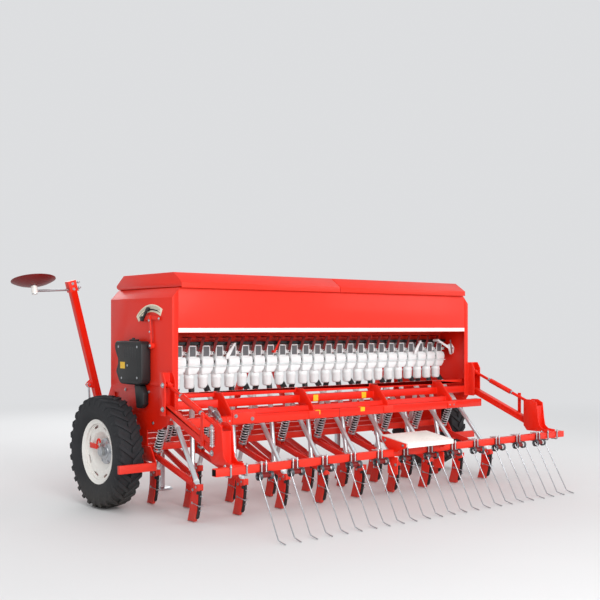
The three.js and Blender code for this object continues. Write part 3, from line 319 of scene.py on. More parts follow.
def wire(points, radius, soft=True, resolution=4, round_sides=2):
    """A bent wire or tube through places, started from a curve and made a mesh."""
    drop_all()
    bpy.ops.curve.primitive_bezier_curve_add()
    obj = bpy.context.object
    curve = obj.data
    spline = curve.splines[0]
    spline.bezier_points.add(len(points) - 2)
    for knot, point in zip(spline.bezier_points, points):
        knot.co = at(*point)
        knot.handle_left_type = knot.handle_right_type = "AUTO" if soft else "VECTOR"
    curve.resolution_u = resolution
    curve.bevel_depth = radius * MM
    curve.bevel_resolution = round_sides
    curve.use_fill_caps = True
    take(obj)
    bpy.ops.object.convert(target="MESH")
    return bpy.context.object


def joined(objects):
    objects = list(objects)
    take(*objects)
    if len(objects) > 1:
        bpy.ops.object.join()
    return bpy.context.view_layer.objects.active


def copied(obj, move=(0, 0, 0), matrix=None):
    """A copy with its own mesh, moved by millimetres."""
    other = obj.copy()
    other.data = obj.data.copy()
    bpy.context.collection.objects.link(other)
    other.data.transform(matrix if matrix is not None else Matrix.Translation(Vector(move) * MM))
    return other


def repeated(obj, moves):
    """One piece made of copies at each move."""
    made = [copied(obj, move) for move in moves]
    bpy.data.objects.remove(obj)
    return joined(made)


def mirrored(obj):
    """A copy on the other side of the machine."""
    other = copied(obj, matrix=Matrix.Scale(-1, 4, (1, 0, 0)))
    other.data.flip_normals()
    return other


def bolt(place, axis, size=8.0, height=7.0):
    """A hexagon head with its washer, seated at a place and standing along an axis."""
    axis = Vector(axis).normalized()
    start = Vector(place)
    return joined([rod(start, start + axis * height, size, 6, 0.6),
        rod(start, start + axis * 2.0, size * 1.45, 12)])


def bolts(places, axis, size=8.0, height=7.0):
    return joined([bolt(place, axis, size, height) for place in places])


def bolt_pair(x, y, z, size, height):
    """A bolt on each side of the middle, both facing outwards."""
    return [bolt((x, y, z), (1, 0, 0), size, height), bolt((-x, y, z), (-1, 0, 0), size, height)]


def piece(obj, name, body, slot, finish, replaces=(), smooth=35):
    """Names a finished piece, gives it its finish and lets it ride on its body."""
    take(obj)
    obj.name = obj.data.name = name
    bpy.ops.object.shade_smooth_by_angle(angle=math.radians(smooth))
    obj.data.materials.clear()
    obj.data.materials.append(FINISH[finish])
    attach(obj, body)
    if replaces:
        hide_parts(*replaces)


def softened(node, name, body, slot, finish, width):
    """A merged copy of a plain solid with its edges rounded, standing for it."""
    source = frame["nodes"][node]
    drop_all()
    bpy.ops.mesh.primitive_plane_add()
    obj = bpy.context.object
    obj.data = source.data.copy()
    take(obj)
    with editing():
        bpy.ops.mesh.remove_doubles(threshold=MERGE)
        bpy.ops.mesh.dissolve_limited(angle_limit=math.radians(1))
    piece(bevel(obj, width), name, body, slot, finish, (node,))


def both(obj, name, body, slot, finish, replaces=(), smooth=35):
    """The piece on the right-hand side and its mirror image on the left, each on its own side's body."""
    other = mirrored(obj)
    for made, side in ((obj, "right"), (other, "left")):
        piece(made, f"{name}_{side}", body.format(side=side), slot, finish,
            tuple(node.format(side=side) for node in replaces), smooth)


def across(x0, y0, y1, z0, z1, s):
    """A square tube through the whole drill, symmetric about the middle."""
    return block(-x0, x0, y0, y1, z0, z1, s.edge_radius / MM)


def row_x(row, pitch):
    return (row - (ROW_COUNT - 1) / 2) * pitch


def rank_moves(rank):
    """The moves that place one coulter's pieces at every row of a rank."""
    return [(row_x(row, ROW_PITCH), rank * RANK_PITCH,
        0) for row in range(ROW_COUNT) if RANK_OF_ROW[row % 3] == rank]


# ---- the pieces --------------------------------------------------------------------------------

def make_stage():
    """Floor, world, lamps and camera."""
    scene = bpy.context.scene
    scene.view_settings.view_transform = "Standard"
    world = bpy.data.worlds.new("studio_world")
    scene.world = world
    world.use_nodes = True
    world.node_tree.nodes["Background"].inputs["Color"].default_value = linear(BACKDROP)
    world.node_tree.nodes["Background"].inputs["Strength"].default_value = BACKDROP_STRENGTH
    drop_all()
    bpy.ops.mesh.primitive_plane_add(size=160, location=(0, 0, 0))
    floor = bpy.context.object
    floor.name = "studio_floor"
    # Matt paper that runs out into the backdrop's own tone, so that no horizon shows.
    paint = bpy.data.materials.new("studio_floor_paper")
    paint.use_nodes = True
    tree = paint.node_tree
    shader = tree.nodes["Principled BSDF"]
    place = add_node(tree, "TexCoord").outputs["Object"]
    cloud = add_node(tree, "TexNoise", {"Scale": 0.6, "Detail": 3.0}, {"Vector": place})
    tone = add_node(tree, "Mix", {"data_type": "RGBA", 6: linear("DADADA"), 7: linear("D4D4D4")},
        {0: cloud.outputs["Fac"]})
    tree.links.new(tone.outputs[2], shader.inputs["Base Color"])
    shader.inputs["Roughness"].default_value = 0.9
    away = add_node(tree, "VectorMath", {"operation": "LENGTH"}, {0: place})
    fade = add_node(tree, "MapRange", {"interpolation_type": "SMOOTHSTEP", "From Min": 3.5, "From Max": 11.0},
        {"Value": away.outputs["Value"]})
    glow = add_node(tree, "Emission", {"Color": linear(BACKDROP), "Strength": BACKDROP_STRENGTH})
    blend = add_node(tree, "MixShader", None,
        {0: fade.outputs["Result"], 1: shader.outputs["BSDF"], 2: glow.outputs["Emission"]})
    tree.links.new(blend.outputs["Shader"], tree.nodes["Material Output"].inputs["Surface"])
    floor.data.materials.append(paint)
    for name, place, size, power in LAMPS:
        drop_all()
        away = Vector(place) - Vector((0, 0, 0.8))
        bpy.ops.object.light_add(type="AREA", location=place,
            rotation=away.to_track_quat("Z", "Y").to_euler())
        lamp = bpy.context.object
        lamp.name = name
        lamp.data.size = size
        lamp.data.energy = power
    camera_data = bpy.data.cameras.new("view_camera")
    camera = bpy.data.objects.new("view_camera", camera_data)
    scene.collection.objects.link(camera)
    camera.location = CAMERA_PLACE
    camera.rotation_euler = (math.pi / 2, 0, CAMERA_YAW)
    camera_data.lens = CAMERA_LENS
    camera_data.sensor_width = CAMERA_SENSOR
    camera_data.shift_y = CAMERA_SHIFT
    scene.camera = camera


CAD_FINISH = {
    "red_paint": "red", "dark_red_paint": "dark_red", "white_plastic": "abs", "white_paint": "white",
    "black_plastic": "black", "black_paint": "black_paint", "tyre": "rubber", "zinc_plate": "zinc",
}


def finish_solids():
    """Each carried-over solid takes the finish of its slot."""
    for entry in frame["record"]["subparts"]:
        solid = frame["nodes"][entry["node"]]
        solid.data.materials.clear()
        solid.data.materials.append(FINISH[CAD_FINISH[entry["material_slot"]]])


def make_hopper(s):
    """Hopper sheets, lids with their rolled edges, the stripe and the folded lips."""
    for node in ("hopper_rear_wall", "hopper_front_wall", "hopper_end_right", "hopper_end_left"):
        softened(node, node + "_sheet", "frame", *RED, 1.5)
    for side, sign in (("right", 1), ("left", -1)):
        softened(f"lid_{side}", f"lid_{side}_sheet", f"lid_{side}", *RED, 6)
        roll = rod((sign * 6, -17, 1606), (sign * 1470, -17, 1606), 5, 10)
        piece(roll, f"lid_{side}_rolled_edge", f"lid_{side}", *RED)
        for x in (300, 740, 1180):
            hinge = joined([rod((sign * (x - 40), 908, 1625), (sign * (x + 40), 908, 1625), 6, 12, 1),
                block(sign * x - 36, sign * x + 36, 900, 905, 1604, 1650, 1)])
            piece(hinge, f"lid_{side}_hinge_{x}", f"lid_{side}", *ZINC)
    stripe = block(-1489, 1489, -0.6, 0.2, 1287, 1317)
    piece(stripe, "rear_stripe", "frame", *WHITE)
    lips = [block(-1488, 1488, 4, 26, 1284.5, 1287.5, 1.0), block(-1488, 1488, 864, 886, 1284.5, 1287.5, 1.0)]
    piece(joined(lips), "panel_lips", "frame", *RED)


def make_meters(s):
    """Seed meters in a row: window, bulged body, lower body and spout; shaft, braces and levers."""
    body = joined([side_plate([(329, 1188), (258, 1188), (252, 1182), (249, 1098), (329, 1098)], -46, 20, 3),
        block(22, 50, 248, 300, 1118, 1146, 4), rod((38, 252, 1132), (38, 230, 1132), 10, 14, 2),
        side_plate([(329, 1104), (252, 1104), (240, 1094), (233, 1072), (233, 1050),
        (240, 1034), (329, 1030)], -52, 49, 15, 4), block(-56, 54, 230, 310, 1028, 1034, 1.5),
        back_plate([(-54, 1030), (48, 1030), (44, 1006), (18, 974), (-54, 972)], 240, 318, 9, 3),
        turned([(0, 868), (24, 869), (33, 875), (37, 888), (37, 940), (39, 944), (39, 956), (37, 960),
        (34, 976), (0, 980)], (-22, 281, 0), (0, 0, 1), 20), block(-45, 19, 245, 250, 1179, 1187, 1.5),
        block(-45, 19, 245, 250, 1099, 1107, 1.5), block(-46, -39, 245, 250, 1099, 1187, 1.5),
        block(13, 20, 245, 250, 1099, 1187, 1.5)])
    moves = [((i - (UNIT_COUNT - 1) / 2) * UNIT_PITCH, 0, 0) for i in range(UNIT_COUNT)]
    piece(repeated(body, moves), "meter_housings", "frame", "white_plastic", "abs", ("seed_meters",))
    ribs = [block(-39, 13, 246.5, 252, 1106, 1180, 0.8)]
    ribs += [block(-37, 11, 244.5, 247, z, z + 4) for z in range(1110, 1178, 9)]
    piece(repeated(joined(ribs), moves), "meter_windows", "frame", "white_plastic", "abs_grey")
    knobs = joined([rod((38, 231, 1132), (38, 226, 1132), 6, 10),
        rod((-56, 262, 1066), (-60, 262, 1066), 16, 16, 1)])
    piece(repeated(knobs, moves), "meter_knobs", "frame", *BLACK)
    half = HOPPER_HALF - 7
    shaft = rod((-half, SPOUT_Y, 1066), (half, SPOUT_Y, 1066), 11, 6)
    piece(shaft, "drive_shaft", "frame", *ZINC)
    gate = joined([block(-half, half, 262, 322, 1191, 1214, 1)] + [block(x - 30, x + 6, 255, 264, 1195, 1203,
        1) for x, _, _ in moves])
    piece(gate, "shutter_slides", "frame", "black_plastic", "black_paint")
    # Flat steel braces that hold the row to the rail, each leaning to the left.
    brace = joined([back_plate([(96, 1252), (68, 1252), (30, 1128), (56, 1128)], 239, 244, 1),
        block(68, 96, 241, 322, 1246, 1252, 1)])
    # The braces take the darker red: painted shade on their red paint under the hopper.
    piece(repeated(brace, moves[:-1]), "meter_braces", "frame", "red_paint", "dark_red")
    rib = side_plate([(322, 1262), (322, 1300), (60, 1480), (40, 1480)], -3, 3, 0.8)
    piece(repeated(rib, [(x * 2, 0, 0) for x, _, _ in moves if abs(x * 2) < 1500]), "floor_ribs", "frame",
        *RED)
    levers = []
    for x, lean in ((-900, 50), (1115, 45)):
        levers.append(back_plate([(x + lean - 9, 1206), (x + lean + 9, 1206), (x - 12, 1086), (x - 38, 1084),
            (x - 30, 1120)], 214, 226, 3))
        levers.append(rod((x + lean - 4, 262, 1196), (x + lean - 4, 212, 1196), 8, 12, 1))
    piece(joined(levers), "flap_levers", "frame", "white_plastic", "abs")
    handle = joined([back_plate([(-430, 1216), (-408, 1240), (-462, 1130), (-484, 1128)], 218, 226, 2),
        rod((-474, 262, 1134), (-474, 214, 1134), 10, 12, 1)])
    piece(handle, "shutter_handle", "frame", *RED)
    adjuster = joined([pushed([at(1350, 196, 1204), at(1372, 196, 1214),
        at(1462, 150, 1150), at(1450, 150, 1132)], (0, 12 * MM, 0), 3),
        back_plate([(1440, 1166), (1478, 1180), (1516, 1140), (1506, 1090), (1474, 1078), (1456, 1120)],
        140, 162, 5), rod((1478, 170, 1136), (1478, 132, 1136), 15, 18, 2),
        rod((1360, 250, 1206), (1360, 190, 1206), 12, 14, 2)])
    piece(adjuster, "flap_adjuster", "frame", "white_plastic", "abs")
    scale = joined([back_plate([(1444, 1210), (1458, 1212), (1478, 1090), (1464, 1086)], 128, 131, 0.5),
        rod((1478, 132, 1136), (1478, 124, 1136), 7, 6)])
    piece(scale, "flap_scale", "frame", *ZINC)
    softened("shutter_rail", "shutter_rail_bar", "frame", *RED, 1.5)


def make_seed_tubes(s):
    """Telescopic seed tubes: a black bellows under each spout, a wide upper tube and a bright lower one."""
    bellows, upper, lower, collars = [], [], [], []
    for row in range(ROW_COUNT):
        rank = RANK_OF_ROW[row % 3]
        top = Vector((row_x(row, UNIT_PITCH), SPOUT_Y, 898))
        foot = Vector((row_x(row, ROW_PITCH), -120 - REACH[rank] + rank * RANK_PITCH, 248))
        bellows.append(rod(top, top.lerp(foot, 0.09), 21, 14))
        bellows += [rod(top.lerp(foot, a), top.lerp(foot, a + 0.008), 23, 14) for a in (0.03, 0.046, 0.062,
            0.078)]
        upper.append(rod(top.lerp(foot, 0.08), top.lerp(foot, 0.42), 19.5, 14))
        lower.append(rod(top.lerp(foot, 0.38), foot, 17.5, 20))
        collars.append(rod(top.lerp(foot, 0.41), top.lerp(foot, 0.435), 21.5, 14, 1.0))
        collars.append(rod(top.lerp(foot, 0.94), top.lerp(foot, 0.96), 20, 14, 1.0))
    piece(joined(bellows), "tube_bellows", "frame", *BLACK)
    piece(joined(upper), "seed_tubes_upper", "frame", "white_plastic", "tube")
    piece(joined(lower), "seed_tubes_lower", "frame", "zinc_plate", "tube_grey")
    piece(joined(collars), "seed_tube_collars", "frame", "white_plastic", "abs")


def make_coulters(s):
    """Coulters of each rank: arm and curved shoe, seed boot, holder on the rank beam, clips and nuts."""
    for rank, rank_name in enumerate(RANKS):
        back, shift = REACH[rank], rank * RANK_PITCH
        moves = rank_moves(rank)

        def far(points):
            return [(y - back, z) for y, z in points]

        shoe_line = far([(-44, 262), (-43, 215), (-41, 165), (-34, 118), (-22, 72), (-8, 30), (2, 3),
            (-28, 5), (-84, 5), (-94, 22), (-108, 70), (-121, 120), (-128, 165), (-131, 215), (-132, 264),
            (-74, 278)])
        boot_line = far([(-98, 30), (-110, 26), (-124, 40), (-137, 90), (-146, 140), (-151, 185), (-154, 226),
            (-128, 232), (-127, 160), (-117, 90)])
        plate_line = far([(-84, 264), (-148, 264), (-146, 226), (-122, 212), (-90, 226)])
        arm_line = ([(352, 396), (350, 412), (340, 424), (326, 428), (300, 424)] + far([(-14, 303),
            (-48, 290), (-66, 270), (-62, 246), (-46, 236), (-18, 250)]) + [(300, 380), (335, 384)])
        arm = joined([side_plate(arm_line, -9, 9, 3), side_plate(shoe_line, -12, 12, 4, 3),
            *cheeks(plate_line, 17, 21, 1.5), block(-21, 21, -150 - back, -145 - back, 222, 266, 1.5)])
        piece(repeated(arm, moves), f"coulter_arms_{rank_name}", "frame", "red_paint", "red_low",
            (f"coulters_{rank_name}",))
        boot = joined([side_plate(boot_line, -7, 7, 3),
            turned([(0, 196), (15, 196), (16.5, 250), (15, 261), (0, 261)], (0, -121 - back, 0), (0, 0, 1),
            16)])
        piece(repeated(boot, moves), f"coulter_boots_{rank_name}", "frame", *BLACK)
        cheek = [(385, 436), (385, 470), (330, 486), (306, 470), (298, 425), (316, 382), (345, 376),
            (362, 396), (366, 428)]
        holder = joined([*cheeks(cheek, 17, 23, 1.5), block(-24, 24, 381, 388, 426, 484, 1.5),
            block(-24, 24, 322, 329.5, 426, 484, 1.5)])
        piece(repeated(holder, moves), f"coulter_holders_{rank_name}", "frame", *RED)
        clip = [(x, y - back, z) for x, y, z in ((14, -60, 132), (14, -104, 128), (13, -142, 122),
            (0, -152, 120), (-13, -142, 122), (-14, -104, 128), (-14, -60, 132))]
        fixings = joined([wire(clip, 3.2, True, 3, 1),
            rod((-18, -152 - back, 120), (18, -152 - back, 120), 5, 8),
            rod((0, -146 - back, 186), (0, -166 - back, 188), 6.5, 6, 0.6),
            rod((0, -134 - back, 88), (0, -152 - back, 90), 5.5, 6), *bolt_pair(12, -70 - back, 222, 7.5, 6),
            *bolt_pair(12, -62 - back, 132, 6.5, 5), *bolt_pair(21, -121 - back, 246, 6, 4),
            rod((-27, 333, 402), (27, 333, 402), 8, 10, 1), rod((0, 391, 455), (0, 404, 455), 8, 6, 0.8),
            *bolt_pair(23, 345, 455, 7, 6)])
        piece(repeated(fixings, moves), f"coulter_fixings_{rank_name}", "frame", *ZINC)
        beam = across(HOPPER_HALF - 0.5, 330 + shift, 380 + shift, 430, 480, s)
        piece(beam, f"rank_beam_{rank_name}", "frame", *RED)


def make_springs(s):
    """Coil springs over each coulter with their rods, ring brackets and pressure shafts."""
    top, foot = Vector((0, 190, 606)), Vector((0, 262, 440))
    along = (foot - top).normalized()
    side = Vector((1, 0, 0))
    up = along.cross(side)
    turns, step = s.spring_turns, 8
    coil = []
    for i in range(turns * step + 1):
        share = i / (turns * step)
        pressed = min(max((share - 0.06) / 0.88, 0.0), 1.0)
        place = top + (foot - top) * (0.02 + 0.96 * (0.08 * share + 0.92 * pressed))
        turn = math.tau * i / step
        coil.append(place + side * (27.5 * math.cos(turn)) + up * (27.5 * math.sin(turn)))
    spring = wire(coil, 4.7, True, 2, 1)
    # A dark rod inside each coil: painted shade seen between the spring's turns.
    inner = rod(top + along * 2, foot - along * 2, 20, 12)
    core = joined([rod(top - along * 34, foot + along * 30, 8, 10), rod(top - along * 3, top, 33, 20, 0.8),
        rod(foot, foot + along * 5, 33, 20, 0.8), rod(top - along * 36, top - along * 26, 13, 6, 1)])
    ring = joined([*cheeks([(160, 664), (212, 664), (216, 640), (200, 606), (172, 606), (156, 630)],
        18, 24, 1.5), block(-24, 24, 160, 212, 656, 664, 1.5),
        *cheeks([(236, 452), (300, 470), (318, 430), (292, 408), (250, 400)], 13, 19, 1.5)])
    for rank, rank_name in enumerate(RANKS):
        shift = rank * RANK_PITCH
        moves = rank_moves(rank)
        piece(repeated(copied(spring), moves), f"coil_springs_{rank_name}", "frame", "zinc_plate",
            "spring_zinc", (f"pressure_springs_{rank_name}",), 60)
        piece(repeated(copied(core), moves), f"spring_rods_{rank_name}", "frame", *ZINC)
        # The dark rods inside the springs are painted shade.
        piece(repeated(copied(inner), moves), f"spring_shade_cores_{rank_name}", "frame", "zinc_plate", "shadow")
        piece(repeated(copied(ring), moves), f"spring_brackets_{rank_name}", "frame", *RED)
        bar = across(HOPPER_HALF - 0.5, 170 + shift, 200 + shift, 625, 655, s)
        piece(bar, f"pressure_shaft_{rank_name}", "frame", *RED)
    for spare in (spring, core, ring, inner):
        bpy.data.objects.remove(spare)


def make_harrow(s):
    """Harrow beam with paired spring tines, their clamps and bolts, and the linkage at each end."""
    beam = across(1757, -862, -812, 405, 455, s)
    piece(beam, "harrow_beam_tube", "harrow", *RED, ("harrow_beam",))
    # A black face just proud of each beam end: painted shade inside the open tube.
    end_shades = block(1756.9, 1758, -857, -817, 410, 450, 0.4)
    piece(joined([end_shades, mirrored(end_shades)]), "harrow_beam_end_shade", "harrow", "black_plastic", "shadow")
    radius, coil_y, coil_z = 23.0, -880.0, 384.0
    thick = s.tine_wire / MM / 2
    coil = []
    for i in range(36):
        turn = math.tau * i / 10
        coil.append((32 + 24 * i / 35, coil_y + radius * math.sin(turn), coil_z + radius * math.cos(turn)))
    coils = wire([(10, -868, 402), (26, -874, 405)] + coil, thick + 0.6, True, 3, 1)
    tail = wire([(56, coil_y - 19, coil_z - 2), (57, -902, 368), (63, -1098, 20), (62, -1132, 11),
        (61, -1168, 5.5)], thick, False, 3, 2)
    bead = rod((63, -1097, 23), (63, -1099, 18), thick * 1.15, 8)
    tine = joined([tail, bead])
    pair_coils = joined([coils, mirrored(coils)])
    pair_tines = joined([tine, mirrored(tine)])
    clamp = joined([block(-30, 30, -870, -862.2, 388, 452, 2), block(-34, 34, -880, -812, 396, 404.8, 2),
        rod((-31, coil_y, coil_z), (31, coil_y, coil_z), 14, 14, 2)])
    studs = joined([rod((x, -872, 462), (x, -806, 462), 4.5, 8) for x in (-18, 18)] + [rod((x, -868, 398),
        (x, -868, 476), 4.5, 8) for x in (-18, 18)] + [rod((x, -868, 458), (x, -868, 465), 8.5, 6,
        0.8) for x in (-18, 18)])
    pairs = [((i - (TINE_COUNT / 2 - 1) / 2) * 2 * TINE_PITCH, 0, 0) for i in range(TINE_COUNT // 2)]
    piece(repeated(pair_tines, pairs), "harrow_tines", "harrow", *ZINC, (), 60)
    piece(repeated(pair_coils, pairs), "tine_coils", "harrow", "black_paint", "spring", (), 60)
    # The clamps are red paint drawn in the darker red: painted shade under the harrow beam.
    piece(repeated(clamp, pairs), "tine_clamps", "harrow", "red_paint", "dark_red")
    piece(repeated(studs, pairs), "tine_bolts", "harrow", "zinc_plate", "spring_zinc")
    for side in ("right", "left"):
        for node, body, width in (("harrow_arm", "harrow_arms", 4), ("harrow_end", "harrow", 1.5),
                ("harrow_bracket", "frame", 1.5), ("harrow_strut", "harrow_struts", 1.5),
                ("harrow_link", "harrow_links", 1.5)):
            softened(f"{node}_{side}", f"{node}_{side}_steel", body, *RED, width)
    both(bolts([(1636, -35, 760), (1636, -35, 925)], (1, 0, 0), 13, 10), "bracket_nuts", "frame", *ZINC)
    both(bolts([(1636, -635, 521), (1636, -635, 686)], (1, 0, 0), 13, 10), "cheek_nuts", "harrow", *ZINC)
    straps = []
    for x in (1530, 1652):
        straps.append(wire([(x, -804, 468), (x, -806, 420), (x, -806, 399), (x, -837, 397), (x, -868, 399),
            (x, -868, 420), (x, -868, 474)], 5.5, True, 3, 1))
        straps += [bolt((x, y, 456), (0, 0, 1), 8, 8) for y in (-804, -868)]
    both(joined(straps), "cheek_u_bolts", "harrow", *ZINC)
    # A short spring upright beside each cheek.
    coil = [(1647 + 13 * math.cos(math.tau * i / 8), -655 + 13 * math.sin(math.tau * i / 8),
        575 + 90 * i / 64) for i in range(65)]
    both(joined([wire(coil, 3.2, True, 2, 1), rod((1647, -655, 560), (1647, -655, 690), 5, 10),
        rod((1647, -655, 568), (1647, -655, 574), 17, 16), rod((1647, -655, 666), (1647, -655, 672), 17, 16),
        rod((1633, -655, 682), (1655, -655, 682), 6, 10)]), "cheek_springs", "harrow", "zinc_plate",
        "spring_zinc", (), 60)
    # The upper links' threaded ends beside the sleeve.
    threads = []
    for span in ((0.26, 0.3), (0.66, 0.7)):
        threads.append(rod(*[(1591.3, -35 - 600 * t, 925 - 239 * t) for t in span], 17, 6, 1))
    both(joined(threads), "link_lock_nuts", "harrow_links", *ZINC)


def make_wheels(s):
    """Tyres with chevron lugs, dished rims, hubs, lock levers and scrapers."""
    mid = TYRE_X
    carcass = turned([(224, -56), (238, -70), (276, -93), (330, -96), (372, -92), (390, -80), (396, -40),
        (396, 40), (390, 80), (372, 92), (330, 96), (276, 93), (238, 70), (224, 56)], (mid, *AXLE), (1, 0, 0),
        72)
    count = s.lug_count
    lug_line = [(-6, -18), (-4, 15), (42, 60), (91, 98), (95, 64), (48, 24)]
    lug = pushed([at(mid + x, AXLE[0] + t, AXLE[1] + 382) for x, t in lug_line], (0, 0, 30 * MM), 2.5)
    shoulder = pushed([at(mid + 84, AXLE[0] + t, AXLE[1] + z) for t, z in ((66, 405), (96, 400), (90, 352),
        (70, 352))], (12 * MM, 0, 0), 2.0)
    pattern = joined([lug, shoulder])
    middle = at(mid, *AXLE)
    centre = Matrix.Translation(middle)
    for vertex in pattern.data.vertices:
        # Every height becomes a distance from the axle, a little less towards the shoulder.
        off, reach = vertex.co.y - middle.y, vertex.co.z - middle.z
        reach -= 14 * MM * min((vertex.co.x - middle.x) / (95 * MM), 1.0) ** 2
        vertex.co.z = middle.z + math.sqrt(reach * reach - off * off)
    lugs = []
    for i in range(count):
        for flip, offset in ((1, 0.0), (-1, 0.5)):
            turn = Matrix.Rotation(math.tau * (i + offset) / count, 4, "X")
            side = Matrix.Scale(flip, 4, (1, 0, 0))
            made = copied(pattern, matrix=centre @ turn @ side @ centre.inverted())
            if flip < 0:
                made.data.flip_normals()
            lugs.append(made)
    bpy.data.objects.remove(pattern)
    tyre = joined([carcass] + lugs)
    both(tyre, "tractor_tyre", "wheel_{side}", "tyre", "rubber", ("tyre_{side}",), 40)
    dish = turned([(60, -22), (92, -20), (118, -10), (150, 24), (172, 30), (196, 30), (206, 40), (206, -60),
        (222, -66), (236, -72), (238, -68), (226, -58), (214, -52), (214, 52), (226, 58), (238, 68),
        (236, 72), (222, 66), (206, 60), (206, 46), (196, 38), (170, 38), (146, 32), (112, -2), (90, -12),
        (60, -14)], (mid, *AXLE), (1, 0, 0), 64)
    cutters = []
    for i in range(8):
        angle = math.tau * (i + 0.5) / 8
        y, z = AXLE[0] + 185 * math.cos(angle), AXLE[1] + 185 * math.sin(angle)
        t = Vector((0, -math.sin(angle), math.cos(angle)))
        a, b = Vector((mid + 20, y, z)) - t * 24, Vector((mid + 20, y, z)) + t * 24
        cutters += [rod(end, end + Vector((40, 0, 0)), 9.5, 16) for end in (a, b)]
        r = Vector((0, math.cos(angle), math.sin(angle))) * 9.5
        cutters.append(pushed([at(*(a - r)), at(*(b - r)), at(*(b + r)), at(*(a + r))], (40 * MM, 0, 0)))
    for cutter in cutters:
        hole = dish.modifiers.new("slot", "BOOLEAN")
        hole.operation = "DIFFERENCE"
        hole.solver = "EXACT"
        hole.object = cutter
        take(dish)
        bpy.ops.object.modifier_apply(modifier="slot")
        bpy.data.objects.remove(cutter)
    both(dish, "wheel_rim", "wheel_{side}", *WHITE, ("rim_{side}",), 30)
    hub = joined([turned([(0, 52), (26, 52), (34, 46), (36, 20), (58, 16), (62, 8), (94, 2), (94, -8),
        (64, -10), (60, -66), (24, -70), (24, 30), (0, 30)], (mid, *AXLE), (1, 0, 0), 32)] + [bolt((mid - 2,
        AXLE[0] + 80 * math.cos(math.tau * i / 6), AXLE[1] + 80 * math.sin(math.tau * i / 6)), (1, 0, 0), 9,
        12) for i in range(6)])
    both(hub, "wheel_hub", "wheel_{side}", *ZINC)
    lock = joined([side_plate([(690, 428), (692, 464), (800, 470), (800, 430)], 1750, 1760, 2),
        wire([(1755, 712, 452), (1756, 690, 470), (1757, 680, 494), (1756, 664, 504), (1755, 650, 494),
        (1754, 650, 478)], 7, True, 4, 2), rod((1741, 700, 446), (1762, 700, 446), 11, 14, 2)])
    both(lock, "wheel_lock_lever", "wheel_{side}", *RED)
    for side in ("right", "left"):
        softened(f"scraper_{side}", f"scraper_{side}_steel", "frame", "red_paint", "red_low", 2)


def make_markers(s):
    """Row markers: arm, head bolts, dished disc, hub, cylinder glands and pins."""
    px, py, pz = MARKER_PIVOT
    ux, uz = math.sin(MARKER_LEAN), math.cos(MARKER_LEAN)
    axis = Vector((0, math.sin(DISC_TILT), math.cos(DISC_TILT)))
    hub = Vector(DISC_HUB)
    seat = hub + axis * 42.5
    rim, dish = 165.0, s.disc_dish / MM
    under = [(0, 0), (48, 0), (60, dish * 0.06), (90, dish * 0.22), (120, dish * 0.45), (145, dish * 0.73),
        (rim, dish)]
    upper = [(rim, dish + 3.5), (143, dish * 0.73 + 4.5), (118, dish * 0.45 + 5), (88, dish * 0.22 + 5),
        (58, dish * 0.06 + 5), (46, 5), (0, 5)]
    disc = turned(under + upper, seat, axis, 64)
    both(disc, "marker_disc_pressing", "marker_disc_{side}", "dark_red_paint", "dark_red",
        ("marker_disc_{side}",), 50)
    cap = joined([turned([(0, 5.2), (30, 5.2), (30, 9), (19, 14), (17, 26), (0, 28)], seat, axis,
        24)] + [rod(seat + axis * 5 + turn, seat + axis * 11 + turn, 5, 6) for turn in (Vector((23, 0, 0)),
        Vector((-11.5, 20, -5)), Vector((-11.5, -20, 5)))])
    both(cap, "marker_disc_boss", "marker_disc_{side}", *ZINC)
    sleeve = turned([(0, -25), (17, -25), (22.4, -20), (22.4, 37), (19, 41.8), (0, 41.8)], hub, axis, 24)
    both(sleeve, "marker_hub", "marker_{side}", *WHITE)
    for side in ("right", "left"):
        softened(f"marker_arm_{side}", f"marker_arm_{side}_steel", f"marker_{side}", *RED, s.edge_radius / MM)
        softened(f"marker_bracket_{side}", f"marker_bracket_{side}_steel", "frame", *RED, 1.5)
    heads = []
    for along in (1092, 1134):
        inner = Vector((px + along * ux - 33 * uz, py, pz + along * uz + 33 * ux))
        inward = Vector((-uz, 0, ux))
        heads += [rod(inner, inner + inward * 42, 6.5, 10, 1), rod(inner, inner + inward * 10, 13, 6, 1),
            rod(inner + inward * 24, inner + inward * 32, 12, 6, 1)]
        heads += [bolt((inner.x + 33 * uz, 1104.8, inner.z - 33 * ux), (0, -1, 0), 8, 6)]
    both(joined(heads), "marker_head_bolts", "marker_{side}", *ZINC)
    both(bolt((px, py + 35.5, pz), (0, 1, 0), 15, 10), "marker_pivot_nut", "frame", *ZINC)
    ring = [(9.6, 0), (22, 0), (22, 30), (20, 32), (9.6, 32)]
    gland = joined([turned(ring, (1577.9, 1135, 530), (38.6, 0, 645), 24),
        turned([(r, h * 0.45) for r, h in ring], (1561.9, 1135, 262), (38.6, 0, 645), 24)])
    both(gland, "cylinder_glands", "marker_cylinder_{side}", "black_paint", "black_paint")
    pin = rod((1598.6, 1112, 875), (1598.6, 1158, 875), 8, 12, 1)
    both(pin, "ram_eye_pin", "marker_ram_{side}", *ZINC)


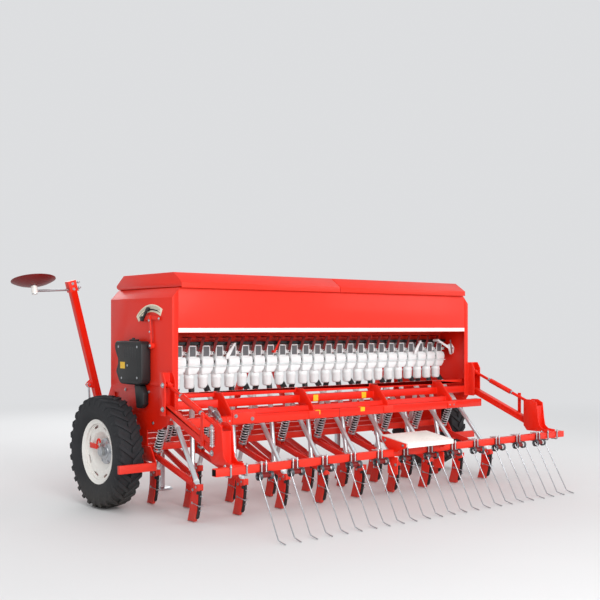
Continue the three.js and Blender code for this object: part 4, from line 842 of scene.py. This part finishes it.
def make_gearbox(s):
    """Gearbox with its guard, the rate scale and the rate lever, all on the left end."""
    x = -HOPPER_HALF - 0.3
    shell = side_plate([(286, 940), (304, 916), (345, 908), (588, 908), (614, 925), (655, 988), (660, 1008),
        (646, 1030), (630, 1056), (632, 1092), (654, 1120), (676, 1160), (680, 1190), (672, 1214),
        (652, 1223), (318, 1223), (290, 1202)], x - 85, x, 17, 4)
    piece(shell, "gearbox_housing", "frame", *BLACK, ("gearbox",))
    cover = joined([side_plate([(318, 950), (340, 934), (570, 934), (618, 1004), (600, 1076), (636, 1176),
        (626, 1198), (330, 1198)], x - 86.2, x - 80, 2), block(x - 60, x - 20, 420, 500, 1222, 1236, 4),
        rod((x - 40, 470, 1230), (x - 40, 470, 1246), 12, 14, 2)])
    piece(cover, "gearbox_cover", "frame", *BLACK)
    rib = [block(x - 87, x - 82, 352 + 24 * i, 358 + 24 * i, 1104, 1180, 1) for i in range(8)]
    piece(joined(rib), "gearbox_ribs", "frame", "black_plastic", "black_paint")
    screws = bolts([(x - 85.4, y, z) for y, z in ((340, 960), (340, 1182), (566, 952), (612, 1180),
        (480, 1046))], (-1, 0, 0), 6, 1.6)
    piece(screws, "gearbox_screws", "frame", *ZINC)
    piece(block(x - 87, x - 86.1, 516, 584, 1022, 1070), "gearbox_blank_label", "frame", "white_plastic",
        "yellow")
    softened("chain_guard", "chain_guard_shell", "frame", *BLACK, 8)
    centre = Vector((0, 280, 1170))

    def spoke(degrees):
        return Vector((0, math.cos(math.radians(degrees)), math.sin(math.radians(degrees))))

    def arc(inner, outer, first, last, x0, x1, edge=0.6):
        share = [first + (last - first) * i / 16 for i in range(17)]
        line = [centre + spoke(a) * outer for a in share]
        line += [centre + spoke(a) * inner for a in reversed(share)]
        return side_plate([(p.y, p.z) for p in line], x0, x1, edge)

    piece(arc(262, 317, 118, 47, x - 3, x), "rate_scale_plate", "frame", "white_plastic", "cream",
        ("rate_scale",))
    ticks = [arc(278, 283, 114, 51, x - 3.5, x - 2.9, 0)]
    for i in range(1, 36):
        a = 114 - 63 * i / 36
        t = spoke(a + 90) * 0.9
        near, far = (centre + spoke(a) * (292 if i % 5 else 284), centre + spoke(a) * 310)
        ticks.append(pushed([at(x - 3.0, *(q.yz)) for q in (near - t, far - t, far + t, near + t)],
            (-0.5 * MM, 0, 0)))
    piece(joined(ticks), "rate_scale_ticks", "frame", "black_plastic", "black_paint")
    lever = joined([side_plate([(246, 1185), (266, 1182), (292, 1396), (286, 1408), (268, 1406)],
        x - 22, x - 15, 2), rod((x, 256, 1190), (x - 30, 256, 1190), 21, 24, 2),
        side_plate([(150, 1372), (160, 1396), (300, 1412), (390, 1390), (384, 1366), (290, 1380)], x - 14,
        x - 9, 2)])
    piece(lever, "rate_lever_handle", "frame", *RED, ("rate_lever",))
    hand = joined([side_plate([(392, 1374), (372, 1372), (296, 1458), (306, 1468), (322, 1462)], x - 24,
        x - 12, 3), side_plate([(186, 1436), (190, 1444), (262, 1456), (316, 1452), (314, 1442), (262, 1446)],
        x - 12, x - 6, 1), rod((x - 30, 380, 1384), (x - 6, 380, 1384), 19, 16, 3),
        rod((x - 26, 306, 1452), (x - 6, 306, 1452), 15, 16, 2)])
    piece(hand, "rate_pointer", "frame", *BLACK)
    piece(joined([bolt((x - 14, 156, 1384), (-1, 0, 0), 7, 7), bolt((x - 30, 256, 1190), (-1, 0, 0), 11, 8),
        bolt((x - 22, 280, 1372), (-1, 0, 0), 7, 6), bolt((x - 22, 272, 1290), (-1, 0, 0), 6, 5)]),
        "rate_lever_bolts", "frame", *ZINC)


def make_chassis(s):
    """Side frames, beams, mast and stands with their bolts, pads and blank foils."""
    for node, width in (("side_frame_right", 2), ("side_frame_left", 2), ("rear_frame", s.edge_radius / MM),
            ("front_beam", s.edge_radius / MM), ("top_link_mast", 2), ("stand_right", 2), ("stand_left", 2)):
        body = node if node.startswith("stand") else "frame"
        slot, finish = ZINC if node.startswith("stand") else RED
        softened(node, node + "_steel", body, slot, finish, width)
    side = bolts([(1547.5, y, z) for y, z in ((25, 790), (25, 980), (120, 860), (300, 860), (480, 860),
        (640, 860), (350, 455), (655, 455), (960, 455), (1040, 520), (1040, 440), (240, 640), (490, 640),
        (795, 640), (620, 520), (700, 520), (620, 350), (700, 350))], (1, 0, 0), 9, 8)
    both(side, "side_frame_bolts", "frame", *ZINC)
    ends = bolts([(1120, -160, 662), (1170, -160, 662)], (0, -1, 0), 8, 7)
    both(ends, "rear_beam_bolts", "frame", *ZINC)
    pads = joined([block(x - 50, x + 50, -165, -160.2, 636, 690, 1) for x in (-1145, -390, 390, 1145)])
    piece(pads, "rear_beam_pads", "frame", *RED)
    piece(block(-134, -131, -160.8, -95.4, 630.4, 695.6), "rear_beam_seam", "frame", "red_paint", "dark_red")
    foils = joined([block(x - 23, x + 23, -160.9, -160.3, 662, 694) for x in (-352, 110)] + [block(x - 23,
        x + 23, -158, -128, 695.2, 695.8) for x in (-352, 110)] + [block(x - 24, x + 24, 3.2, 4.0, 750,
        798) for x in (-235, 275)])
    piece(foils, "blank_foils", "frame", "white_plastic", "yellow")
    piece(block(-1146, -950, -171, -160.6, 640, 716, 2), "rear_clamp_plate", "frame", *RED)
    piece(bolts([(-1120, -171, 694), (-976, -171, 668)], (0, -1, 0), 10, 12), "rear_clamp_bolts", "frame",
        *ZINC)
    # The lift spindle with its spring, on the left of the rear beam.
    spindle = joined([rod((-1300, -99, 764), (-1300, -270, 662), 10, 12),
        rod((-1300, -120, 751), (-1300, -165, 724), 24, 16, 2),
        rod((-1300, -222, 690), (-1300, -240, 680), 17, 6, 1),
        rod((-1326, -270, 662), (-1274, -270, 662), 10, 12, 1)] + [rod((-1300, -170 - 8 * i, 721 - 4.8 * i),
        (-1300, -174 - 8 * i, 718.6 - 4.8 * i), 20, 14) for i in range(6)])
    piece(spindle, "lift_spindle", "frame", *ZINC)


def make_step(s):
    """Loading step: a folded white tread with grip ribs on two red wings round the harrow beam."""
    tread = joined([side_plate([(-998, 508), (-726, 549), (-726, 519), (-730, 519),
        (-730, 544), (-994, 504), (-994, 476), (-998, 476)], -235, 235, 0.8),
        side_plate([(-996, 507), (-728, 547), (-728, 525), (-996, 482)], 231, 235, 0.8),
        side_plate([(-996, 507), (-728, 547), (-728, 525), (-996, 482)], -235, -231, 0.8)])
    piece(tread, "step_tread", "harrow", *WHITE, ("step",))
    grips = [side_plate([(-972, 511.5), (-750, 545.0), (-750, 548.0), (-972, 514.5)], x - 2, x + 2,
        0.8) for x in range(-210, 211, 30)]
    piece(joined(grips), "step_grips", "harrow", *WHITE)
    wing = side_plate([(-899, 282), (-801, 282), (-801, 404), (-811, 404), (-811, 456), (-801, 456),
        (-742, 520), (-742, 542), (-984, 506), (-984, 478), (-899, 448), (-899, 440), (-863, 440),
        (-863, 404), (-899, 404)], 235.2, 243, 1.5)
    piece(joined([wing, mirrored(wing)]), "step_wings", "harrow", *RED)
    heads = bolts([(243, -955, 492), (243, -775, 516), (243, -882, 350)], (1, 0, 0), 8, 6)
    piece(joined([heads, mirrored(heads)]), "step_bolts", "harrow", *ZINC)


# ---- the add-on --------------------------------------------------------------------------------

class SeedDrillSizes(bpy.types.PropertyGroup):
    """Sizes of the drill's pieces that a user would change."""
    edge_radius: FloatProperty(name="Tube edge", description="Rounding on the edges of square tube",
        default=0.004, min=0.0005, max=0.008, unit="LENGTH")
    spring_turns: IntProperty(name="Spring turns", description="Turns of each coulter spring", default=9,
        min=4, max=14)
    tine_wire: FloatProperty(name="Tine wire", description="Diameter of the harrow tines", default=0.008,
        min=0.006, max=0.012, unit="LENGTH")
    lug_count: IntProperty(name="Tread lugs", description="Lugs on each half of the tread", default=28,
        min=12, max=34)
    disc_dish: FloatProperty(name="Disc dish", description="Depth of the marker discs", default=0.042,
        min=0.02, max=0.042, unit="LENGTH")


class SEEDDRILL_OT_stage(bpy.types.Operator):
    """Floor, world, lamps and camera"""
    bl_idname = "seeddrill.stage"
    bl_label = "Stage"

    def execute(self, context):
        make_stage()
        return {"FINISHED"}


class SEEDDRILL_OT_finishes(bpy.types.Operator):
    """Mixes the finishes and gives them to the solids"""
    bl_idname = "seeddrill.finishes"
    bl_label = "Finishes"

    def execute(self, context):
        mix_finishes()
        finish_solids()
        return {"FINISHED"}


class SEEDDRILL_OT_hopper(bpy.types.Operator):
    """Hopper sheets, lids, stripe and hinges"""
    bl_idname = "seeddrill.hopper"
    bl_label = "Hopper and lids"

    def execute(self, context):
        make_hopper(context.scene.seed_drill)
        return {"FINISHED"}


class SEEDDRILL_OT_meters(bpy.types.Operator):
    """Meter housings, windows, shaft, braces and levers"""
    bl_idname = "seeddrill.meters"
    bl_label = "Seed meters"

    def execute(self, context):
        make_meters(context.scene.seed_drill)
        return {"FINISHED"}


class SEEDDRILL_OT_tubes(bpy.types.Operator):
    """Telescopic seed tubes"""
    bl_idname = "seeddrill.tubes"
    bl_label = "Seed tubes"

    def execute(self, context):
        make_seed_tubes(context.scene.seed_drill)
        return {"FINISHED"}


class SEEDDRILL_OT_coulters(bpy.types.Operator):
    """Coulter arms, boots, holders and rank beams"""
    bl_idname = "seeddrill.coulters"
    bl_label = "Coulters"

    def execute(self, context):
        make_coulters(context.scene.seed_drill)
        return {"FINISHED"}


class SEEDDRILL_OT_springs(bpy.types.Operator):
    """Coil springs, rods and pressure shafts"""
    bl_idname = "seeddrill.springs"
    bl_label = "Pressure springs"

    def execute(self, context):
        make_springs(context.scene.seed_drill)
        return {"FINISHED"}


class SEEDDRILL_OT_harrow(bpy.types.Operator):
    """Harrow beam, tines, clamps and linkage"""
    bl_idname = "seeddrill.harrow"
    bl_label = "Harrow"

    def execute(self, context):
        make_harrow(context.scene.seed_drill)
        return {"FINISHED"}


class SEEDDRILL_OT_wheels(bpy.types.Operator):
    """Tyres, rims, hubs and scrapers"""
    bl_idname = "seeddrill.wheels"
    bl_label = "Wheels"

    def execute(self, context):
        make_wheels(context.scene.seed_drill)
        return {"FINISHED"}


class SEEDDRILL_OT_markers(bpy.types.Operator):
    """Marker arms, discs and cylinders"""
    bl_idname = "seeddrill.markers"
    bl_label = "Row markers"

    def execute(self, context):
        make_markers(context.scene.seed_drill)
        return {"FINISHED"}


class SEEDDRILL_OT_gearbox(bpy.types.Operator):
    """Gearbox, guard, rate scale and lever"""
    bl_idname = "seeddrill.gearbox"
    bl_label = "Gearbox and scale"

    def execute(self, context):
        make_gearbox(context.scene.seed_drill)
        return {"FINISHED"}


class SEEDDRILL_OT_chassis(bpy.types.Operator):
    """Side frames, beams, mast, stands and bolts"""
    bl_idname = "seeddrill.chassis"
    bl_label = "Chassis"

    def execute(self, context):
        make_chassis(context.scene.seed_drill)
        return {"FINISHED"}


class SEEDDRILL_OT_step(bpy.types.Operator):
    """Loading step with its grips and wings"""
    bl_idname = "seeddrill.step"
    bl_label = "Step"

    def execute(self, context):
        make_step(context.scene.seed_drill)
        return {"FINISHED"}


OPERATORS = (
    SEEDDRILL_OT_stage,
    SEEDDRILL_OT_finishes,
    SEEDDRILL_OT_hopper,
    SEEDDRILL_OT_meters,
    SEEDDRILL_OT_tubes,
    SEEDDRILL_OT_coulters,
    SEEDDRILL_OT_springs,
    SEEDDRILL_OT_harrow,
    SEEDDRILL_OT_wheels,
    SEEDDRILL_OT_markers,
    SEEDDRILL_OT_gearbox,
    SEEDDRILL_OT_chassis,
    SEEDDRILL_OT_step,
)


class SEEDDRILL_PT_panel(bpy.types.Panel):
    """Lists the drill's operators and sizes."""
    bl_label = "Seed Drill"
    bl_idname = "SEEDDRILL_PT_panel"
    bl_space_type = "VIEW_3D"
    bl_region_type = "UI"
    bl_category = "Seed Drill"

    def draw(self, context):
        for name in SeedDrillSizes.__annotations__:
            self.layout.prop(context.scene.seed_drill, name)
        for made in OPERATORS:
            self.layout.operator(made.bl_idname)


CLASSES = (SeedDrillSizes, *OPERATORS, SEEDDRILL_PT_panel)


def register():
    for cls in CLASSES:
        bpy.utils.register_class(cls)
    bpy.types.Scene.seed_drill = PointerProperty(type=SeedDrillSizes)


def unregister():
    del bpy.types.Scene.seed_drill
    for cls in reversed(CLASSES):
        bpy.utils.unregister_class(cls)


def main():
    register()
    for made in OPERATORS:
        getattr(bpy.ops.seeddrill, made.bl_idname.split(".")[1])()


if __name__ == "__main__":
    main()
